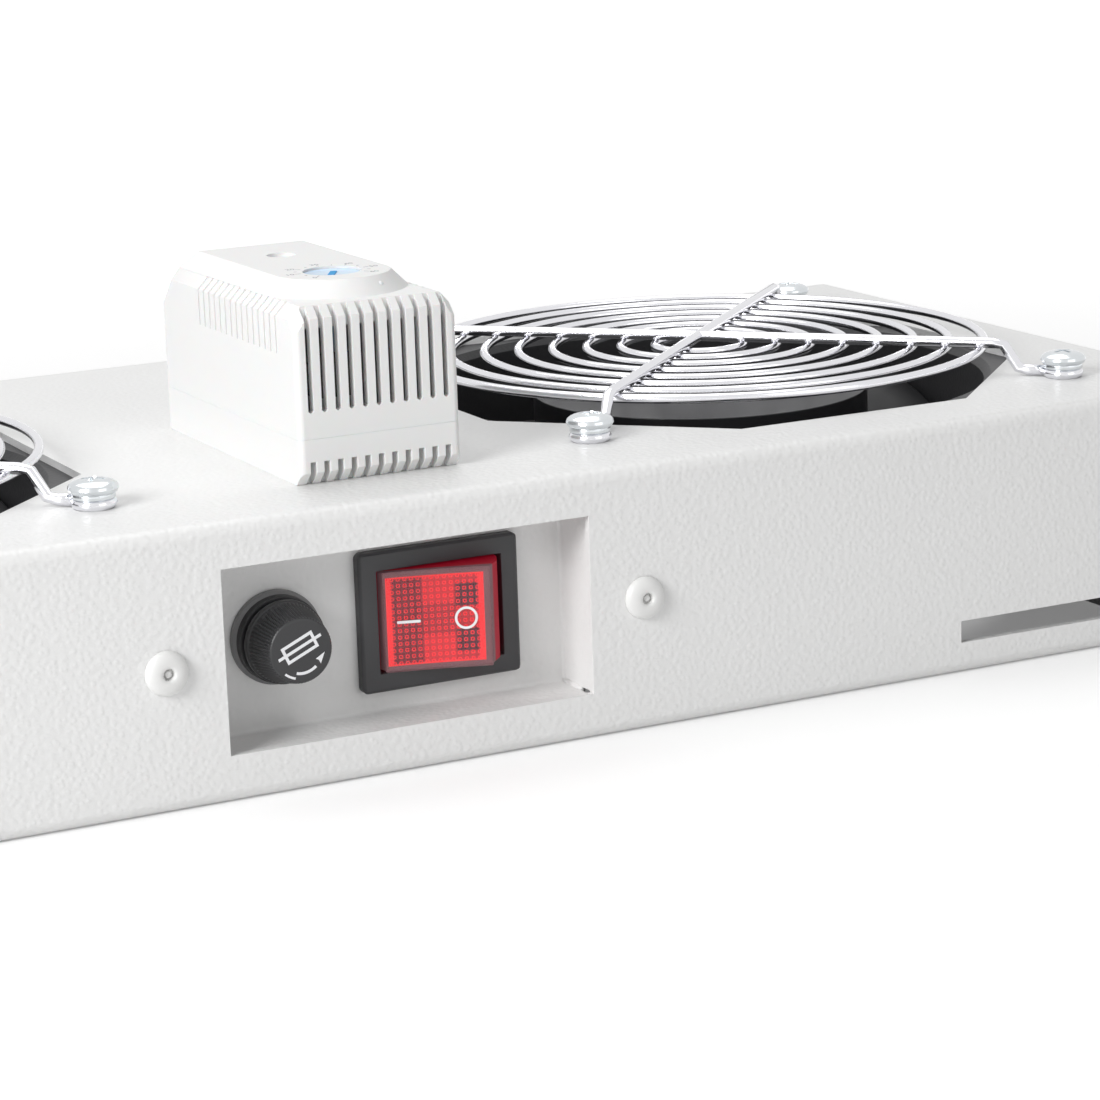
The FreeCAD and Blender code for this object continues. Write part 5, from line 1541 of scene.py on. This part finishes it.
@dataclass
class FuseHolder:
    """Panel fuse holder with its knurled bayonet cap.

    Attributes:
        shop: the workshop.
        knob: diameter of the cap.
        face: diameter of its front disc.
        teeth: how many knurls.
        tooth: depth of a knurl.
        cone_start: depth behind the front at which the knurled cone starts.
        cone_end: depth at which it ends.
        pen: half of the width of the sign's strokes.
        tilt: turn of the sign at rest, in degrees.
    """

    shop: Workshop
    knob: float = 14.8
    face: float = 11.4
    teeth: int = 64
    tooth: float = 0.30
    cone_start: float = 0.5
    cone_end: float = 6.25
    pen: float = 0.27
    tilt: float = -24.0

    def build(self) -> None:
        """Dress the holder and make the cap."""
        self.shop.dress_all({
            "fuse_body": ("holder_plastic_painted_sheen", 0.15), "fuse_nut": ("nylon", 0.3),
            "fuse_carrier": ("knob_plastic", 0.15), "fuse_glass": ("clear_glass", 0.0),
            "fuse_end_caps": ("motor_steel", 0.15), "fuse_rear_tab": ("brass", 0.0),
            "fuse_side_tab": ("brass", 0.0)})
        self._make_cap()

    def _cap_profile(self, back: float) -> list[Point]:
        """Section through the conical cap.

        Args:
            back: depth of its back.

        Returns:
            Radius and depth of each point, from the front to the back.
        """
        radius, face, start, end = self.knob / 2, self.face / 2, self.cone_start, self.cone_end
        front, foot, hollow, steps = face + 0.15, radius - 0.3, 4.6, 10
        profile = [(0, 0.0), (face - 0.5, 0.0), (face - 0.2, 0.05), (face, 0.2), (front, start)]
        profile += [(front + (foot - front) * step / steps, start + (end - start) * step / steps)
                    for step in range(1, steps + 1)]
        return profile + [
            (foot - 0.1, end + 0.2), (radius - 0.1, end + 0.35), (radius, end + 0.5),
            (radius, back - 0.45), (radius - 0.3, back - 0.2), (radius - 0.45, back),
            (hollow, back), (hollow, back - 2.0), (0, back - 2.0)]

    def _knurl(self, reach: float, depth: float, angle: float) -> float:
        """The radius of the cap with its knurls worked in.

        Args:
            reach: the radius without them.
            depth: behind the front.
            angle: round the cap.

        Returns:
            The radius.
        """
        inside = min(depth - (self.cone_start - 0.2), self.cone_end - depth)
        share = min(max(inside / 0.6, 0.0), 1.0)
        return reach - self.tooth * share * (0.5 - 0.5 * math.cos(self.teeth * angle))

    def _make_cap(self) -> None:
        """Knurled cap with a bevelled front disc, a fuse sign and a turning arrow."""
        low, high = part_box("fuse_cap")
        place = (Matrix.Translation(((low.x + high.x) / 2, low.y, (low.z + high.z) / 2))
                 @ Matrix.Rotation(-math.pi / 2, 4, "X"))
        shape = bmesh.new()
        lathe(shape, self._cap_profile((high.y - low.y) / MM), self.teeth * 6, place,
              waver=self._knurl)
        disc_depth, to_own_frame = 0.3 * MM, place.inverted()
        for face in shape.faces:
            if (to_own_frame @ face.calc_center_median()).z < disc_depth:
                face.material_index = 1
        cap = self.shop.add("fuse_knob", shape, "fuse_knob", "dark_plastic", "knob_plastic",
                            "knob_face", instead_of=["fuse_cap"])
        split_edges(cap, 42)
        self._print_sign(place)

    def _print_sign(self, place: Matrix) -> None:
        """A plain fuse sign, a box with a line through it, and a curved arrow.

        Args:
            place: the cap's own frame, its front at height 0.
        """
        shape = bmesh.new()
        low, high = -0.04, 0.03
        turned = (place @ Matrix.Rotation(math.radians(self.tilt), 4, "Z")
                  @ Matrix.Translation((0, -0.7 * MM, 0)))

        def bar(x0: float, y0: float, x1: float, y1: float) -> None:
            """One printed stroke between two corners."""
            prism(shape, [(x0, -y0), (x1, -y0), (x1, -y1), (x0, -y1)], low, high, turned)

        def arc(radius: float, start: float, end: float, half: float) -> None:
            """One printed stroke round the middle, between two angles in degrees."""
            angles = [math.radians(start + (end - start) * step / 12) for step in range(13)]
            spots = [polar(radius + half, -angle) for angle in angles]
            spots += [polar(radius - half, -angle) for angle in reversed(angles)]
            prism(shape, [(spot.x, spot.y) for spot in spots], low, high, place)

        wide, tall, pen, reach = 2.9, 1.35, self.pen, 4.35
        for side in (-1, 1):
            bar(-wide - pen, side * tall - pen, wide + pen, side * tall + pen)
            bar(side * wide - pen, -tall + pen, side * wide + pen, -pen)
            bar(side * wide - pen, pen, side * wide + pen, tall - pen)
        bar(-reach, -pen, reach, pen)
        arc(3.95, -106, -50, 0.25)
        arc(4.85, -131, -106, 0.2)
        arrow_head = [(4.25, 0.75), (2.55, 1.75), (3.1, 2.0), (3.45, 2.7)]
        prism(shape, arrow_head, low, high, place)
        self.shop.add("fuse_sign", shape, "fuse_knob", "dark_plastic", "white_ink", smooth=False)


class MainsInlet:
    """The rear cable gland, the terminal block and the earth point."""

    def __init__(self, shop: Workshop) -> None:
        """Keep the workshop."""
        self.shop = shop

    def build(self) -> None:
        """Dress every node."""
        self.shop.dress_all({
            "gland_body": ("nylon", 0.3), "gland_nut": ("nylon", 0.4),
            "gland_lock_nut": ("nylon", 0.3), "gland_seal": ("seal_rubber", 0.2),
            "terminal_block": ("natural_plastic", 0.2), "block_screw": ("zinc", 0.15),
            "block_nut": ("zinc", 0.15), "earth_stud": ("zinc", 0.15),
            "earth_washer": ("zinc", 0.1), "earth_nut": ("zinc", 0.2)})


@dataclass
class Studio:
    """Pale floor, soft light and the camera.

    Attributes:
        camera_at: the camera's place.
        yaw: its heading, from +Y towards +X, in degrees.
        pitch: above the horizon, in degrees.
        roll: in degrees.
        focal_pixels: focal length in pixels of the picture.
        picture: width of the picture in pixels.
        sensor: width of the sensor.
        floor_reach: half of the floor's width.
        floor_shade: share of white that the floor shows by itself near the object.
        floor_near: distance from the object up to which it shows only that share.
        floor_far: distance from which it shows white.
        room_light: strength of the room's light on the object.
        room_gloss: strength of the room in reflections.
    """

    camera_at: tuple[float, float, float] = (-235.7, -602.9, 176.6)
    yaw: float = 26.52
    pitch: float = -13.447
    roll: float = -1.922
    focal_pixels: float = 3442.5
    picture: float = 1100.0
    sensor: float = 36.0
    floor_reach: float = 6000.0
    floor_shade: float = 0.2
    floor_near: float = 200.0
    floor_far: float = 1100.0
    room_light: float = 0.25
    room_gloss: float = 0.9

    def build(self) -> None:
        """Set up everything that isn't part of the object."""
        bpy.context.scene.view_settings.view_transform = "Standard"
        self._make_camera()
        self._make_floor()
        self._make_world()
        for name, place, aim, size, watts in (
                ("key_left", (-820, -420, 505), (0, 0, 30), 440, 8.0),
                ("top_soft", (60, 260, 900), (0, 0, 40), 800, 3.9),
                ("front_fill", (350, -900, 420), (20, -60, 30), 600, 0.9)):
            self._make_lamp(name, Vector(place) * MM, Vector(aim) * MM, size * MM, watts)

    def _make_camera(self) -> None:
        """The camera at the photograph's angle."""
        yaw, pitch, roll = (math.radians(a) for a in (self.yaw, self.pitch, self.roll))
        ahead = Vector((math.sin(yaw) * math.cos(pitch), math.cos(yaw) * math.cos(pitch),
                        math.sin(pitch)))
        right = Vector((math.cos(yaw), -math.sin(yaw), 0))
        up = right.cross(ahead)
        turned_right = right * math.cos(roll) + up * math.sin(roll)
        turned_up = up * math.cos(roll) - right * math.sin(roll)
        turn = Matrix((turned_right, turned_up, -ahead)).transposed().to_4x4()
        data = bpy.data.cameras.new("photo_camera")
        data.sensor_width = self.sensor
        data.lens = self.focal_pixels / self.picture * self.sensor
        data.clip_start = 0.01
        camera = put_in_scene("photo_camera", data)
        camera.matrix_world = Matrix.Translation(Vector(self.camera_at) * MM) @ turn
        bpy.context.scene.camera = camera

    def _make_floor(self) -> None:
        """A wide pale floor: white far off, with the object's soft shadow near it."""
        shape = bmesh.new()
        corners = block(self.floor_reach, self.floor_reach)
        shape.faces.new([shape.verts.new(Vector((x, y, -0.05)) * MM) for x, y in corners])
        floor = put_in_scene("floor", mesh_from("floor", shape, smooth=False))
        material, sheet, shader = blank_material("pale_floor")
        fill(shader, {"Base Color": rgba((0.86, 0.86, 0.86)), "Roughness": 0.9})
        path = sheet.add("LightPath")
        seen = sheet.math("MAXIMUM", path.outputs["Is Camera Ray"], path.outputs["Is Glossy Ray"])
        seen = sheet.math("MAXIMUM", seen, path.outputs["Is Transmission Ray"])
        distance = sheet.add("VectorMath", operation="LENGTH")
        sheet.join(sheet.add("TexCoord").outputs["Object"], distance.inputs[0])
        lift = sheet.ramp(distance.outputs["Value"], self.floor_near * MM, self.floor_far * MM,
                          self.floor_shade, 1.0)
        sheet.join(sheet.times(seen, lift), shader.inputs["Emission Color"])
        shader.inputs["Emission Strength"].default_value = 1.0
        floor.data.materials.append(material)

    def _make_world(self) -> None:
        """White to the eye and in reflections, a plain soft level on the object."""
        world = bpy.data.worlds.new("white_room")
        bpy.context.scene.world = world
        world.use_nodes = True
        sheet = NodeSheet(world.node_tree)
        path = sheet.add("LightPath")
        seen = sheet.math("MAXIMUM", path.outputs["Is Camera Ray"],
                          path.outputs["Is Transmission Ray"])
        glossy = sheet.times(path.outputs["Is Glossy Ray"], self.room_gloss)
        strength = sheet.math("MAXIMUM", sheet.math("MAXIMUM", seen, glossy), self.room_light)
        background = sheet.add("Background")
        background.inputs["Color"].default_value = rgba((1.0, 1.0, 1.0))
        sheet.join(strength, background.inputs["Strength"])
        sheet.join(background.outputs[0], sheet.add("OutputWorld").inputs["Surface"])

    def _make_lamp(self, name: str, place: Vector, aim: Vector, size: float, watts: float) -> None:
        """One square soft lamp.

        Args:
            name: the lamp's name.
            place: where it hangs, in metres.
            aim: the point that it faces, in metres.
            size: its side, in metres.
            watts: its power.
        """
        data = bpy.data.lights.new(name, "AREA")
        data.size = size
        data.energy = watts
        lamp = put_in_scene(name, data)
        turn = (aim - place).to_track_quat("-Z", "Y").to_matrix().to_4x4()
        lamp.matrix_world = Matrix.Translation(place) @ turn


def clear_default_scene() -> None:
    """Remove what a new file holds."""
    for item in list(bpy.data.objects):
        bpy.data.objects.remove(item)


def write_sizes() -> None:
    bpy.context.view_layer.update()


def main() -> None:
    """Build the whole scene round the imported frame."""
    logging.basicConfig(level=logging.INFO, format="%(name)s: %(message)s")
    clear_default_scene()
    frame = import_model()
    Studio().build()
    shop = Workshop(frame, FinishBook())
    SheetMetal(shop).build()
    for side in Side:
        FanUnit(shop, side).build()
    FanFasteners(shop).build()
    Thermostat(shop).build()
    RockerSwitch(shop).build()
    FuseHolder(shop).build()
    MainsInlet(shop).build()
    write_sizes()


if __name__ == "__main__":
    main()
